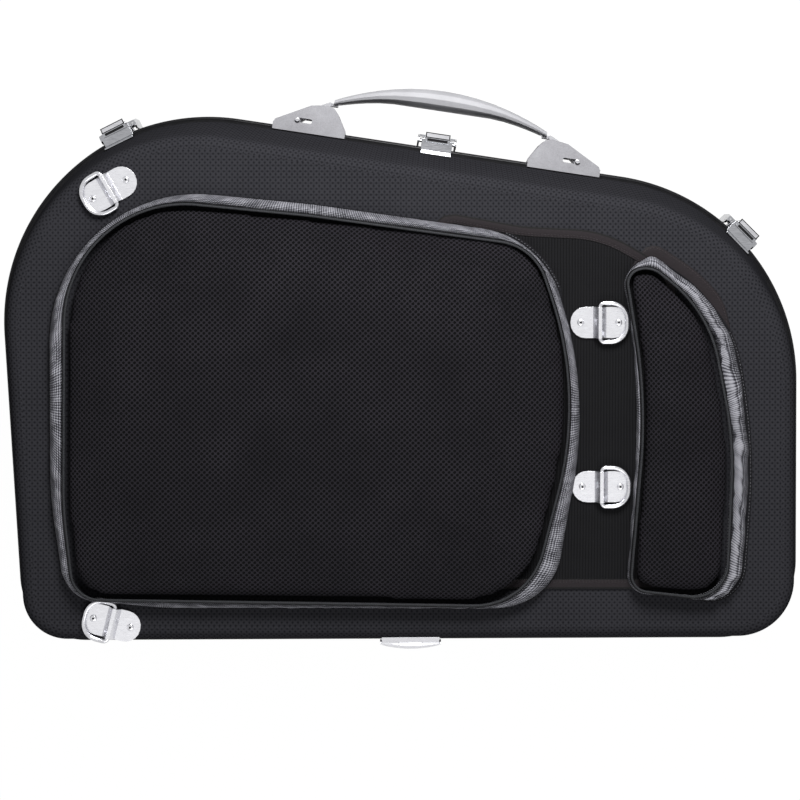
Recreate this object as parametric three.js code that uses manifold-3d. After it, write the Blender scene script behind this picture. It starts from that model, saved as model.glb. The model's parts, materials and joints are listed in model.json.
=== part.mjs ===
// A flat moulded case for a french horn with a detachable bell.
// It lies on its front face: +X runs along the case, +Y points to the handle, +Z to the carrying pads.
// Lengths are millimetres.
import * as THREE from 'three';
import { mergeVertices } from 'three/addons/utils/BufferGeometryUtils.js';
import Module from 'manifold-3d';

const wasm = await Module();
wasm.setup();

// Overall sizes
const caseLength = 620;
const caseWidth = 411;
const halfDepth = 95;

// Shells
const wallThickness = 4;
const wallDraftDegrees = 10;
const faceEdgeRadius = 10;
const leastCornerRadius = 1;
const arcRoomShare = 0.96;
const rimOverhang = 3;
const overrun = 5;
const seatGap = 0.3;
const weldDistance = 1e-4;

// Rim and seal
const rimHeight = 6;
const seamHalfGap = 0.6;
const rimRidgeDepth = 0.9;
const rimGrooveWidth = 0.6;
const rimChamfer = 0.5;
const tongueWidth = 1.6;
const tongueHeight = 1.8;
const tongueInset = 4.4;
const gasketWidth = 2.8;
const gasketInset = 0.3;

// Corners of outlines, anticlockwise from the lower left: x as a share of the length,
// y and the corner radius as shares of the width, counted from the middle of the case.
const caseCornerShares = [
  [-0.479, -0.502, 0.125],
  [0.5, -0.4955, 0.147],
  [0.499, 0.3345, 0.394],
  [-0.521, 0.566, 0.391],
];
const caseArcSteps = [6, 6, 11, 11];
const caseCorner = { topRight: 2, topLeft: 3 };

// Foam
const linerGap = 0.4;
const linerSetback = 2.6;
const wellRounding = 9;
const bodyWellShares = [
  [-0.42, -0.385, 0.14],
  [0.235, -0.385, 0.14],
  [0.25, 0.2, 0.3],
  [-0.42, 0.4, 0.33],
];
const bodyWellDepth = 68;
const pocketShares = [
  [0.285, -0.385, 0.08],
  [0.435, -0.385, 0.11],
  [0.435, 0.0, 0.1],
  [0.285, 0.0, 0.08],
];
const pocketDepth = 55;
const slotShares = [
  [0.31, 0.045, 0.045],
  [0.42, 0.045, 0.045],
  [0.40, 0.165, 0.06],
  [0.31, 0.165, 0.045],
];
const slotDepth = 38;
const wellArcSteps = [4, 4, 6, 6];
const bellRadius = 157;
const bellDishDepth = 66;
const bellThroatRadius = 52;
const bellCenterXShare = -0.185;
const bellCenterYShare = -0.04;
const bellSides = 36;
const bellSteps = 6;
const bellFlarePower = 2;
const backPocketDepth = 40;

// Hinge
const hingeCenterX = 7;
const hingeAxisOutset = 3.5;
const hingeBarrelRadius = 5.4;
const hingeEndRadius = 2.6;
const hingeLength = 45;
const hingeMiddleLength = 18;
const hingePinRadius = 1.4;
const hingePinGap = 0.25;
const hingePinHead = 1.2;
const hingeLeafThickness = 1.8;
const hingeLeafHeight = 24;
const barrelSides = 16;
const barrelSteps = 4;

// Latches
const latchLeftAngleDegrees = 116;
const latchRightAngleDegrees = 44;
const latchWidth = 31;
const latchHeight = 11;
const latchLength = 36;
const latchWall = 1.5;
const latchGap = 0.5;
const latchPivotDrop = 8;
const latchPivotHeight = 5.6;
const latchPivotRadius = 1.5;
const earNoseRadius = 3;
const earRootDrop = 3.9;
const collarRadius = 3.6;
const skinDrop = 4.5;
const hookPivotDrop = 7.5;
const hookPinRadius = 1.1;
const hookThickness = 1.4;
const hookWidth = 20;
const hookClaw = 2.2;
const strikeWidth = 24;
const strikeThickness = 1.4;
const strikeReach = 8;
const strikeHeight = 14;

// Handle
const handleCenterX = 27;
const handleDepth = 27;
const handleNearReach = 8.8;
const bracketLength = 57;
const bracketInnerReach = 72;
const bracketTopHeight = 20.5;
const bracketShoulderHeight = 18.6;
const bracketToeHeight = 4.4;
const bracketFloor = 2;
// Heights of the inner end's slope, as shares of the bracket's length and top height
const innerSlopeShares = [[0.13, 0.72], [0.2, 0.93]];
const peakInnerShare = 0.29;
const peakOuterShare = 0.51;
const bracketCheek = 2.4;
const bracketRoof = 1.8;
const bracketRimGap = 0.6;
const bracketFlangeDrop = 3.4;
const bracketFlangeThickness = 2.2;
const pinRadius = 1.35;
const pinHeadRadius = 2.3;
const pinHeadHeight = 1.1;
const pinInset = 38.4;
const pinReach = bracketInnerReach + pinInset;
const pinHeight = 6;
const slotTravel = 10;
const slotGap = 0.35;
const linkWidth = 20;
const linkLength = 24.4;
const linkRise = 17.6;
const linkThickness = 3.2;
const linkEyeRadius = 2.9;
const kneeShare = 0.5;
const kneeLift = 0.8;
const linkTipRound = 0.8;
const tabWidth = 10;
const tabLength = 3;
const tabRelief = 0.3;
const forkDepth = 4.6;
const gripEndGap = 2;
const gripTopHeight = 45.7;
const gripTopDrop = 19.4;
const gripUnderHeight = 30;
const gripUnderDrop = 8.6;
const gripFlatReach = 38;
const gripWidth = 28;
const gripEndWidth = 19;
const gripSteps = 20;
const gripSides = 14;
const gripSquareness = 0.8;
const gripUnderPower = 1.6;
const bracketScrewReach = 6;
const bracketScrewInner = 8;
const bracketScrewOuter = 49;

// Carrying rings
const ringWireRadius = 1.6;
const ringHalfHeight = 14.4;
const ringReach = 20.2;
const ringCornerRadius = 3.2;
const ringNoseRadius = 12.2;
const ringWireSides = 8;
const plateLength = 43;
const plateWidth = 23;
const plateThickness = 1.5;
const plateCornerRadius = 11.4;
const saddleWidth = 9.6;
const saddleTopWidth = 5;
const saddleWall = 1.3;
const saddleGap = 0.4;
const plateScrewReach = 14;
const screwHeadRadius = 2.5;
const screwHeadHeight = 1.1;
const screwShankRadius = 1.2;
const screwShankLength = 2.8;
const screwGap = 0.3;
const screwSides = 12;
const screwDomeShare = 0.6;
const ringArcSteps = [3, 6, 6, 3];
// Middle of each plate, as shares of length and width, and the heading of its ring in degrees
const ringPlaces = [
  ['upper_left', -0.3463, 0.3555, 210],
  ['upper_middle', 0.2346, 0.1174, 0],
  ['lower_middle', 0.2370, -0.1771, 0],
  ['lower_left', -0.3453, -0.4228, 166],
];

// Carrying pads: corner shares of the piping line and of the foot of the side band
const largePadShares = [
  [-0.3883, -0.3772, 0.0703],
  [0.1509, -0.3896, 0.147],
  [0.216, 0.0106, 0.6167],
  [0.1566, 0.2702, 0.1368],
  [-0.3971, 0.3507, 0.2156],
  [-0.4001, -0.2134, 0.6988],
];
const largeFootShares = [
  [-0.403, -0.3783, 0.0861],
  [0.1766, -0.4098, 0.1598],
  [0.2234, 0.0021, 0.6669],
  [0.1724, 0.2883, 0.1994],
  [-0.418, 0.3753, 0.2664],
  [-0.4199, -0.1899, 0.7501],
];
const largePadSteps = [6, 6, 5, 6, 8, 5];
const smallPadShares = [
  [0.2696, -0.3596, 0.036],
  [0.3839, -0.3795, 0.062],
  [0.3919, -0.095, 0.65],
  [0.3626, 0.1362, 0.234],
  [0.295, 0.2178, 0.071],
  [0.2631, 0.2098, 0.031],
  [0.2882, -0.0214, 1],
];
const smallFootShares = [
  [0.265, -0.3695, 0.042],
  [0.3974, -0.3934, 0.095],
  [0.4159, -0.1085, 0.95],
  [0.3905, 0.1515, 0.26],
  [0.2973, 0.2361, 0.05],
  [0.2602, 0.2172, 0.036],
  [0.2824, -0.0238, 1],
];
const smallPadSteps = [5, 5, 5, 5, 5, 4, 6];
const pipingRadius = 1.8;
const pipingSides = 6;
const pipingHeight = 11.5;
const gussetThickness = 1.2;
const gussetTopDrop = 2.6;
const padInset = 2.4;
const padDrawIn = 2.2;
const padFirstCrown = 1.6;
const padCrown = 4.2;
const crownShares = [0.14, 0.38, 0.7];
const padClearance = 0.8;

// Ribbed panel
const panelThickness = 1;
const panelShares = [
  [0.0647, -0.3605, 0.02],
  [0.3137, -0.3605, 0.02],
  [0.3137, 0.1953, 0.03],
  [0.236, 0.264, 0.2],
  [0.1414, 0.271, 0.4],
  [0.0458, 0.2979, 0.02],
];
const panelSteps = [2, 2, 2, 3, 4, 2];

// Colours
const finishes = {
  shell: { color: 0x2e2e31, roughness: 0.55, metalness: 0 },
  rim: { color: 0x77777b, roughness: 0.45, metalness: 0.6 },
  seal: { color: 0x0c0c0d, roughness: 0.9, metalness: 0 },
  foam: { color: 0x232326, roughness: 1, metalness: 0 },
  mesh: { color: 0x28262a, roughness: 0.95, metalness: 0 },
  band: { color: 0x7a7a80, roughness: 0.9, metalness: 0 },
  piping: { color: 0x3a3b3e, roughness: 0.8, metalness: 0 },
  panel: { color: 0x1b1b1d, roughness: 0.95, metalness: 0 },
  metal: { color: 0xc9c9cd, roughness: 0.3, metalness: 1 },
  bracket: { color: 0xbdbcc2, roughness: 0.4, metalness: 0.3 },
  grip: { color: 0xb4b4b9, roughness: 0.55, metalness: 0.1 },
};

const rad = THREE.MathUtils.degToRad;
const draftSlope = Math.tan(rad(wallDraftDegrees));

// Corners of an outline in millimetres, from its shares of the case
function cornersOf(shares) {
  return shares.map(([x, y, r]) => ({ x: x * caseLength, y: y * caseWidth, r: r * caseWidth }));
}

// A rectangle's corners about the middle, all of one radius
function boxCorners(length, width, radius) {
  const [x, y] = [length / 2, width / 2];
  return [[-x, -y], [x, -y], [x, y], [-x, y]].map(([cx, cy]) => ({ x: cx, y: cy, r: radius }));
}

// Unit direction, length and outward normal of each side of a corner list
function sidesOf(corners) {
  return corners.map((corner, i) => {
    const next = corners[(i + 1) % corners.length];
    const length = Math.hypot(next.x - corner.x, next.y - corner.y);
    const dir = new THREE.Vector2((next.x - corner.x) / length, (next.y - corner.y) / length);
    return { corner, length, dir, normal: new THREE.Vector2(dir.y, -dir.x) };
  });
}

// The corner list moved inwards by a constant distance
function insetCorners(corners, inset) {
  const sides = sidesOf(corners);
  return corners.map((corner, i) => {
    const before = sides[(i + corners.length - 1) % corners.length];
    const after = sides[i];
    const turn = before.dir.cross(after.dir);
    const bisector = before.normal.clone().add(after.normal);
    const move = (2 * inset) / bisector.lengthSq();
    const radius = turn > 0 ? corner.r - inset : corner.r + inset;
    return {
      x: corner.x - bisector.x * move,
      y: corner.y - bisector.y * move,
      r: Math.max(radius, leastCornerRadius),
    };
  });
}

// Points round a corner list with rounded corners; every inset of one list has the same point count
function outlinePoints(corners, arcSteps, inset = 0) {
  const moved = insetCorners(corners, inset);
  const sides = sidesOf(moved);
  const count = moved.length;
  const tangents = moved.map((corner, i) => {
    const before = sides[(i + count - 1) % count];
    const turn = Math.abs(before.dir.angleTo(sides[i].dir));
    return corner.r * Math.tan(turn / 2);
  });
  const room = sides.map((side, i) => side.length / (tangents[i] + tangents[(i + 1) % count]));
  const points = [];
  moved.forEach((corner, i) => {
    const before = sides[(i + count - 1) % count];
    const after = sides[i];
    const fit = Math.min(1, room[i] * arcRoomShare, room[(i + count - 1) % count] * arcRoomShare);
    const reach = tangents[i] * fit;
    const start = new THREE.Vector2(corner.x, corner.y).addScaledVector(before.dir, -reach);
    const turn = Math.atan2(before.dir.cross(after.dir), before.dir.dot(after.dir));
    const radius = (corner.r * fit) * Math.sign(turn);
    const center = start.clone().addScaledVector(before.normal, -radius);
    for (let step = 0; step <= arcSteps[i]; step += 1) {
      const swing = (turn * step) / arcSteps[i];
      const spoke = start.clone().sub(center).rotateAround(new THREE.Vector2(), swing);
      points.push(center.clone().add(spoke));
    }
  });
  return points;
}

// Point and frame on the arc of one corner of the case, where the outward normal has the given heading
function onCorner(index, headingDegrees) {
  const corners = cornersOf(caseCornerShares);
  const sides = sidesOf(corners);
  const before = sides[(index + corners.length - 1) % corners.length];
  const after = sides[index];
  const corner = corners[index];
  const bisector = before.normal.clone().add(after.normal);
  const move = (2 * corner.r) / bisector.lengthSq();
  const heading = rad(headingDegrees);
  return {
    x: corner.x - bisector.x * move + corner.r * Math.cos(heading),
    y: corner.y - bisector.y * move + corner.r * Math.sin(heading),
    turn: heading - Math.PI / 2,
  };
}

// Point and frame on the straight top edge at a given x
function onTopEdge(x) {
  const side = sidesOf(cornersOf(caseCornerShares))[caseCorner.topRight];
  const along = (x - side.corner.x) / side.dir.x;
  const turn = Math.atan2(side.normal.y, side.normal.x) - Math.PI / 2;
  return { x, y: side.corner.y + along * side.dir.y, turn };
}

// A closed body through rings of equal point count, flat at both ends
function loft(rings) {
  const count = rings[0].length;
  const positions = rings.flat().flatMap((p) => [p.x, p.y, p.z]);
  const faces = [];
  for (let ring = 0; ring < rings.length - 1; ring += 1) {
    for (let i = 0; i < count; i += 1) {
      const [a, b] = [ring * count + i, ring * count + (i + 1) % count];
      faces.push([a, b, b + count], [a, b + count, a + count]);
    }
  }
  const flat = (ring) => ring.map((p) => new THREE.Vector2(p.x, p.y));
  const last = (rings.length - 1) * count;
  const capStart = THREE.ShapeUtils.triangulateShape(flat(rings[0]), []);
  const capEnd = THREE.ShapeUtils.triangulateShape(flat(rings[rings.length - 1]), []);
  capStart.forEach(([a, b, c]) => faces.push([a, c, b]));
  capEnd.forEach(([a, b, c]) => faces.push([last + a, last + b, last + c]));
  return facingOut(positions, faces);
}

// A closed ring: a section of [inset, height] points carried round an outline
function hoop(ringAt, section) {
  const rings = section.map(([inset, height]) => ringAt(inset, height));
  const count = rings[0].length;
  const positions = rings.flat().flatMap((p) => [p.x, p.y, p.z]);
  const faces = [];
  rings.forEach((_, ring) => {
    const [here, next] = [ring * count, ((ring + 1) % rings.length) * count];
    for (let i = 0; i < count; i += 1) {
      const j = (i + 1) % count;
      faces.push([here + i, here + j, next + j], [here + i, next + j, next + i]);
    }
  });
  return facingOut(positions, faces);
}

// Geometry whose faces point out whichever way its rings ran
function facingOut(positions, faces) {
  const at = (i) => new THREE.Vector3().fromArray(positions, i * 3);
  const volume = faces.reduce((sum, [a, b, c]) => sum + at(a).dot(at(b).cross(at(c))), 0);
  const ordered = volume < 0 ? faces.map(([a, b, c]) => [a, c, b]) : faces;
  const geometry = new THREE.BufferGeometry();
  geometry.setAttribute('position', new THREE.Float32BufferAttribute(positions, 3));
  geometry.setIndex(ordered.flat());
  return geometry;
}

// Points of an outline at one height
function level(corners, arcSteps, inset, z) {
  return outlinePoints(corners, arcSteps, inset).map((p) => new THREE.Vector3(p.x, p.y, z));
}

// A prism over a corner list between two heights
function prism(corners, arcSteps, low, high, inset = 0) {
  return loft([level(corners, arcSteps, inset, low), level(corners, arcSteps, inset, high)]);
}

// A plate cut to a profile in the X-Y plane, from z low to z high
function profile(points, low, high) {
  const shape = new THREE.Shape(points.map(([x, y]) => new THREE.Vector2(x, y)));
  const geometry = new THREE.ExtrudeGeometry(shape, { depth: high - low, bevelEnabled: false });
  return geometry.translate(0, 0, low);
}

function box(x0, x1, y0, y1, z0, z1) {
  const geometry = new THREE.BoxGeometry(x1 - x0, y1 - y0, z1 - z0);
  return geometry.translate((x0 + x1) / 2, (y0 + y1) / 2, (z0 + z1) / 2);
}

// A round bar along Z between two heights
function bar(radius, low, high, sides) {
  const geometry = new THREE.CylinderGeometry(radius, radius, high - low, sides);
  return geometry.rotateX(Math.PI / 2).translate(0, 0, (low + high) / 2);
}

// A turned body about Z from [radius, height] points that start and end on the axis
function turned(points, sides) {
  const lathe = new THREE.LatheGeometry(points.map(([r, h]) => new THREE.Vector2(r, h)), sides);
  return lathe.rotateX(Math.PI / 2);
}

function toSolid(geometry) {
  const bare = new THREE.BufferGeometry();
  bare.setAttribute('position', geometry.getAttribute('position').clone());
  if (geometry.index) bare.setIndex(geometry.index.clone());
  const merged = mergeVertices(bare, weldDistance);
  const index = [];
  for (let i = 0; i < merged.index.count; i += 3) {
    const [a, b, c] = [0, 1, 2].map((k) => merged.index.getX(i + k));
    if (a !== b && b !== c && c !== a) index.push(a, b, c);
  }
  const made = new wasm.Manifold(new wasm.Mesh({
    numProp: 3,
    vertProperties: merged.attributes.position.array,
    triVerts: new Uint32Array(index),
  }));
  if (made.volume() > 0) return made;
  const turnedIndex = index.map((_, i) => index[i - (i % 3) + [0, 2, 1][i % 3]]);
  return new wasm.Manifold(new wasm.Mesh({
    numProp: 3,
    vertProperties: merged.attributes.position.array,
    triVerts: new Uint32Array(turnedIndex),
  }));
}

function toGeometry(solid) {
  const mesh = solid.getMesh();
  const positions = [];
  for (let i = 0; i < mesh.numVert; i += 1) {
    positions.push(...mesh.vertProperties.subarray(i * mesh.numProp, i * mesh.numProp + 3));
  }
  const geometry = new THREE.BufferGeometry();
  geometry.setAttribute('position', new THREE.Float32BufferAttribute(positions, 3));
  geometry.setIndex([...mesh.triVerts]);
  return geometry;
}

function cut(base, ...tools) {
  return toGeometry(tools.reduce((solid, tool) => solid.subtract(toSolid(tool)), toSolid(base)));
}

function join(base, ...others) {
  return toGeometry(others.reduce((solid, other) => solid.add(toSolid(other)), toSolid(base)));
}

// Geometry copied to a place: turned about Z and moved
function placed(geometry, { x, y, turn = 0, z = 0 }) {
  return geometry.clone().rotateZ(turn).translate(x, y, z);
}

const part = new THREE.Group();
const model = new THREE.Group();
part.add(model);

function add(name, geometry, finish) {
  const mesh = new THREE.Mesh(geometry, new THREE.MeshStandardMaterial(finishes[finish]));
  mesh.name = name;
  model.add(mesh);
  return mesh;
}

const caseCorners = cornersOf(caseCornerShares);
const seamHeight = halfDepth;

// Height of a point of one half: side +1 is the back half, -1 the front half, depth counts from the seam
const heightAt = (side, depth) => seamHeight + side * depth;

function caseRing(side) {
  return (inset, depth) => level(caseCorners, caseArcSteps, inset, heightAt(side, depth));
}

// Rings of [inset, depth] down a half's wall and round its edge to the face, as a skin moved inwards
function skinProfile(skin, firstDepth) {
  const slant = rad(wallDraftDegrees);
  const middleDepth = halfDepth - faceEdgeRadius;
  const tangentDepth = middleDepth + faceEdgeRadius * Math.sin(slant);
  const middleInset = rimOverhang + draftSlope * tangentDepth + faceEdgeRadius * Math.cos(slant);
  const radius = faceEdgeRadius - skin;
  const points = [[rimOverhang + skin / Math.cos(slant) + draftSlope * firstDepth, firstDepth]];
  const steps = 3;
  for (let step = 0; step <= steps; step += 1) {
    const angle = slant + ((Math.PI / 2 - slant) * step) / steps;
    points.push([middleInset - radius * Math.cos(angle), middleDepth + radius * Math.sin(angle)]);
  }
  return points;
}

const shellEdgeDepth = rimHeight + seatGap;

function shellBody(side) {
  const outer = skinProfile(0, shellEdgeDepth);
  const inner = skinProfile(wallThickness, shellEdgeDepth);
  return loft([...outer.reverse(), ...inner].map(([inset, depth]) => caseRing(side)(inset, depth)));
}

const backRing = caseRing(1);
const frontRing = caseRing(-1);

// Where the straight hinge edge runs at a given x
function onStraightEdge(x) {
  const side = sidesOf(caseCorners)[0];
  return side.corner.y + ((x - side.corner.x) * side.dir.y) / side.dir.x;
}

// A body cut to a profile in the Y-Z plane, from one x to another
function sideProfile(points, from, to) {
  const swap = new THREE.Matrix4().makeBasis(
    new THREE.Vector3(0, 1, 0), new THREE.Vector3(0, 0, 1), new THREE.Vector3(1, 0, 0));
  return profile(points, from, to).applyMatrix4(swap);
}

// A round bar along X at a given y and z
function axle(radius, from, to, y, z, sides = barrelSides) {
  return bar(radius, from, to, sides).rotateY(Math.PI / 2).translate(0, y, z);
}

// Inset of the shell's wall at a depth below the seam, before its edge rounds
const wallInset = (depth) => rimOverhang + draftSlope * depth;

// Hinge: a barrel that swells in the middle, two leaves on the drafted walls and one pin
const hingeY = onStraightEdge(hingeCenterX) - hingeAxisOutset;
const hingeHalf = hingeLength / 2;
const knuckleHalf = hingeMiddleLength / 2;

function barrelRadius(x) {
  return hingeBarrelRadius - (hingeBarrelRadius - hingeEndRadius) * (x / hingeHalf) ** 2;
}

// A stretch of the barrel, grown by a gap, in the frame of the hinge's axis
function barrel(from, to, growth = 0) {
  const points = [[0, from]];
  for (let step = 0; step <= barrelSteps; step += 1) {
    const x = from + ((to - from) * step) / barrelSteps;
    points.push([barrelRadius(x) + growth, x]);
  }
  points.push([0, to]);
  const lathe = new THREE.LatheGeometry(points.map(([r, h]) => new THREE.Vector2(r, h)), barrelSides);
  return lathe.rotateZ(-Math.PI / 2);
}

// One leaf: it hugs the rim's outside, steps in to the wall and carries its own knuckles
function hingeLeaf(side, knuckles, gaps) {
  const wall = (depth) => hingeAxisOutset + wallInset(depth) - seatGap;
  const rimFace = hingeAxisOutset - seatGap;
  const [first, step, last] = [seamHalfGap, shellEdgeDepth, shellEdgeDepth + hingeLeafHeight];
  const bend = step + hingeLeafThickness * 2;
  const section = [
    [rimFace, first], [rimFace, step], [wall(step), step], [wall(last), last],
    [wall(last) - hingeLeafThickness, last], [wall(bend) - hingeLeafThickness, bend],
    [rimFace - hingeLeafThickness, step], [rimFace - hingeLeafThickness, first],
  ];
  const plate = sideProfile(section.map(([y, z]) => [y, side * z]), -hingeHalf, hingeHalf);
  const cleared = cut(plate, ...gaps.map(([from, to]) => barrel(from - seatGap, to + seatGap, seatGap)));
  const body = join(cleared, ...knuckles.map(([from, to]) => barrel(from, to)));
  const bore = axle(hingePinRadius + hingePinGap, -hingeLength, hingeLength, 0, 0);
  return cut(body, bore).translate(hingeCenterX, hingeY, seamHeight);
}

function hingePin() {
  const end = hingeHalf + seatGap;
  const shaft = axle(hingePinRadius, -end, end, 0, 0);
  const heads = [-1, 1].map((way) => {
    const [a, b] = [way * end, way * (end + hingePinHead)];
    return axle(hingeEndRadius - rimChamfer, Math.min(a, b), Math.max(a, b), 0, 0);
  });
  return join(shaft, ...heads).translate(hingeCenterX, hingeY, seamHeight);
}

const outerKnuckles = [[-hingeHalf, -knuckleHalf - seatGap], [knuckleHalf + seatGap, hingeHalf]];
const middleKnuckle = [[-knuckleHalf, knuckleHalf]];
const barrelPocket = barrel(-hingeHalf - seatGap, hingeHalf + seatGap, seatGap);
barrelPocket.translate(hingeCenterX, hingeY, seamHeight);
const pinHeadPocket = axle(
  hingeEndRadius + seatGap, -hingeHalf - hingePinHead - seatGap * 2, hingeHalf + hingePinHead + seatGap * 2, 0, 0);
pinHeadPocket.translate(hingeCenterX, hingeY, seamHeight);

// Rim profiles: two ridges with a groove between them, a tongue on the front one and its channel on the back
const rimInner = rimOverhang + wallThickness;

function rimSection(half) {
  const middle = (seamHalfGap + rimHeight) / 2;
  const [low, high] = [middle - rimGrooveWidth / 2, middle + rimGrooveWidth / 2];
  const gap = half === 'back' ? seatGap : 0;
  const rise = half === 'back' ? -tongueHeight - seatGap : tongueHeight;
  const [near, far] = [tongueInset - gap, tongueInset + tongueWidth + gap];
  return [
    [rimChamfer, seamHalfGap],
    [0, seamHalfGap + rimChamfer],
    [0, low - rimRidgeDepth / 2],
    [rimRidgeDepth, low],
    [rimRidgeDepth, high],
    [0, high + rimRidgeDepth / 2],
    [0, rimHeight - rimChamfer],
    [rimChamfer, rimHeight],
    [rimInner, rimHeight],
    [rimInner, seamHalfGap],
    [far, seamHalfGap],
    [far, seamHalfGap - rise],
    [near, seamHalfGap - rise],
    [near, seamHalfGap],
  ];
}

add('front_shell', shellBody(-1), 'shell');
add('front_rim', cut(hoop(frontRing, rimSection('front')), barrelPocket, pinHeadPocket), 'rim');
const gasketHalf = seamHalfGap - seatGap;
const gasketSection = [
  [gasketInset, -gasketHalf], [gasketInset, gasketHalf],
  [gasketInset + gasketWidth, gasketHalf], [gasketInset + gasketWidth, -gasketHalf],
];
add('rim_gasket', cut(hoop(backRing, gasketSection), barrelPocket, pinHeadPocket), 'seal');
add('hinge_leaf_front', hingeLeaf(-1, outerKnuckles, middleKnuckle), 'metal');
add('hinge_leaf_back', hingeLeaf(1, middleKnuckle, outerKnuckles), 'metal');
add('hinge_pin', hingePin(), 'metal');

// Foam: fills a half from just below the seam to the shell's inner skin
function linerBlock(side) {
  const skin = wallThickness + linerGap;
  const rings = skinProfile(skin, linerSetback);
  return loft(rings.map(([inset, depth]) => caseRing(side)(inset, depth)));
}

// A well with a drafted wall and a rounded floor, sunk into a half from its seam
function well(shares, side, depth) {
  const corners = cornersOf(shares);
  const rings = [[-overrun * draftSlope, -overrun]];
  const steps = 2;
  for (let step = 0; step <= steps; step += 1) {
    const angle = (Math.PI / 2) * (step / steps);
    const turn = wellRounding * (1 - Math.cos(angle));
    const drop = wellRounding * (1 - Math.sin(angle));
    rings.push([draftSlope * (depth - wellRounding) + turn, depth - drop]);
  }
  return loft(rings.map(([inset, at]) => level(corners, wellArcSteps, inset, heightAt(side, at))));
}

// The bell lies mouth down: the dish follows its flare up to the throat
function bellDish() {
  const points = [[0, -overrun], [bellRadius, -overrun]];
  for (let step = 0; step <= bellSteps; step += 1) {
    const share = step / bellSteps;
    const radius = bellThroatRadius + (bellRadius - bellThroatRadius) * (1 - share) ** bellFlarePower;
    points.push([radius, linerSetback + (bellDishDepth - linerSetback) * share]);
  }
  points.push([0, bellDishDepth]);
  const dish = turned(points, bellSides);
  return dish.translate(bellCenterXShare * caseLength, bellCenterYShare * caseWidth, seamHeight);
}

const frontWells = [
  well(bodyWellShares, -1, bodyWellDepth),
  well(pocketShares, -1, pocketDepth),
  well(slotShares, -1, slotDepth),
];
add('front_liner', cut(linerBlock(-1), ...frontWells), 'foam');
add('back_liner', cut(linerBlock(1), bellDish(), well(pocketShares, 1, backPocketDepth)), 'foam');

// Ring plates: a pressed plate with a saddle whose tunnel holds the ring's straight bar
const faceHeight = seamHeight + halfDepth;
const plateCorners = boxCorners(plateLength, plateWidth, plateCornerRadius);
const plateSteps = [5, 5, 5, 5];

function ringPlace([, x, y, heading]) {
  return { x: x * caseLength, y: y * caseWidth, turn: rad(heading) };
}

// Heights above the face of the panel's top, where it lies under a plate, and of the parts of a plate
function plateLevels(onPanel) {
  const foot = seatGap + (onPanel ? panelThickness + seatGap : 0);
  const top = foot + plateThickness;
  return { foot, top, axis: top + seatGap + ringWireRadius };
}

const screwHole = (radius) => bar(radius, -plateLength, plateLength, screwSides);
const screwPlaces = [-1, 1].map((way) => way * plateScrewReach);

function ringPlate(levels) {
  const plate = prism(plateCorners, plateSteps, levels.foot, levels.top);
  const tunnel = ringWireRadius + saddleGap;
  const crest = levels.axis + tunnel + saddleWall;
  const shoulder = levels.axis + tunnel / 2;
  const section = [
    [-saddleWidth / 2, levels.foot], [saddleWidth / 2, levels.foot], [saddleWidth / 2, levels.top],
    [saddleTopWidth / 2 + saddleWall / 2, shoulder], [saddleTopWidth / 4, crest], [-saddleTopWidth / 4, crest],
    [-saddleTopWidth / 2 - saddleWall / 2, shoulder], [-saddleWidth / 2, levels.top],
  ];
  const along = sideProfile(section, -plateWidth / 2, plateWidth / 2).rotateZ(Math.PI / 2);
  const bore = axle(tunnel, -plateWidth, plateWidth, 0, levels.axis, screwSides).rotateZ(Math.PI / 2);
  const holes = screwPlaces.map((x) => screwHole(screwShankRadius + screwGap).translate(x, 0, 0));
  return cut(join(plate, along), bore, ...holes);
}

// Corners of a ring's wire line: a straight bar at x = 0 and a round nose
const ringCorners = [
  { x: 0, y: -ringHalfHeight, r: ringCornerRadius },
  { x: ringReach, y: -ringHalfHeight, r: ringNoseRadius },
  { x: ringReach, y: ringHalfHeight, r: ringNoseRadius },
  { x: 0, y: ringHalfHeight, r: ringCornerRadius },
];

function dRing() {
  const section = [];
  for (let side = 0; side < ringWireSides; side += 1) {
    const angle = (2 * Math.PI * side) / ringWireSides;
    section.push([ringWireRadius * Math.cos(angle), ringWireRadius * Math.sin(angle)]);
  }
  return hoop((inset, z) => level(ringCorners, ringArcSteps, inset, z), section);
}

// A domed screw whose head sits on a surface at the given height
function screw(surface, reach) {
  const top = surface + seatGap;
  const points = [
    [0, surface - reach], [screwShankRadius, surface - reach],
    [screwShankRadius, top], [screwHeadRadius, top], [screwHeadRadius, top + screwHeadHeight / 2],
    [screwHeadRadius * screwDomeShare, top + screwHeadHeight], [0, top + screwHeadHeight],
  ];
  return turned(points, screwSides);
}

const rings = ringPlaces.map((row) => {
  const levels = plateLevels(row[0].endsWith('middle'));
  return { name: row[0], place: { ...ringPlace(row), z: faceHeight }, levels };
});

rings.forEach(({ name, place, levels }) => {
  add('ring_plate_' + name, placed(ringPlate(levels), place), 'metal');
  add('d_ring_' + name, placed(dRing().translate(0, 0, levels.axis), place), 'metal');
  screwPlaces.forEach((x, i) => {
    const piece = screw(levels.top, plateThickness + screwShankLength).translate(x, 0, 0);
    add('ring_screw_' + name + '_' + (i ? 'ring_side' : 'far_side'), placed(piece, place), 'metal');
  });
});

// Room that a plate needs under the pads' side bands
function plateRoom({ place, levels }) {
  const high = levels.top + seatGap + screwHeadHeight + padClearance;
  return placed(prism(plateCorners, plateSteps, -overrun, high, -padClearance), place);
}

// Room for a ring at rest
function ringRoom({ place, levels }) {
  const high = levels.axis + ringWireRadius + padClearance;
  return placed(prism(ringCorners, ringArcSteps, -overrun, high, -ringWireRadius - padClearance), place);
}

function screwRoom({ place }) {
  const holes = screwPlaces.map((x) => screwHole(screwShankRadius + screwGap).translate(x, 0, 0));
  return holes.map((hole) => placed(hole, place));
}

const backShell = cut(shellBody(1), ...rings.flatMap(screwRoom));
add('back_shell', backShell, 'shell');

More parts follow.
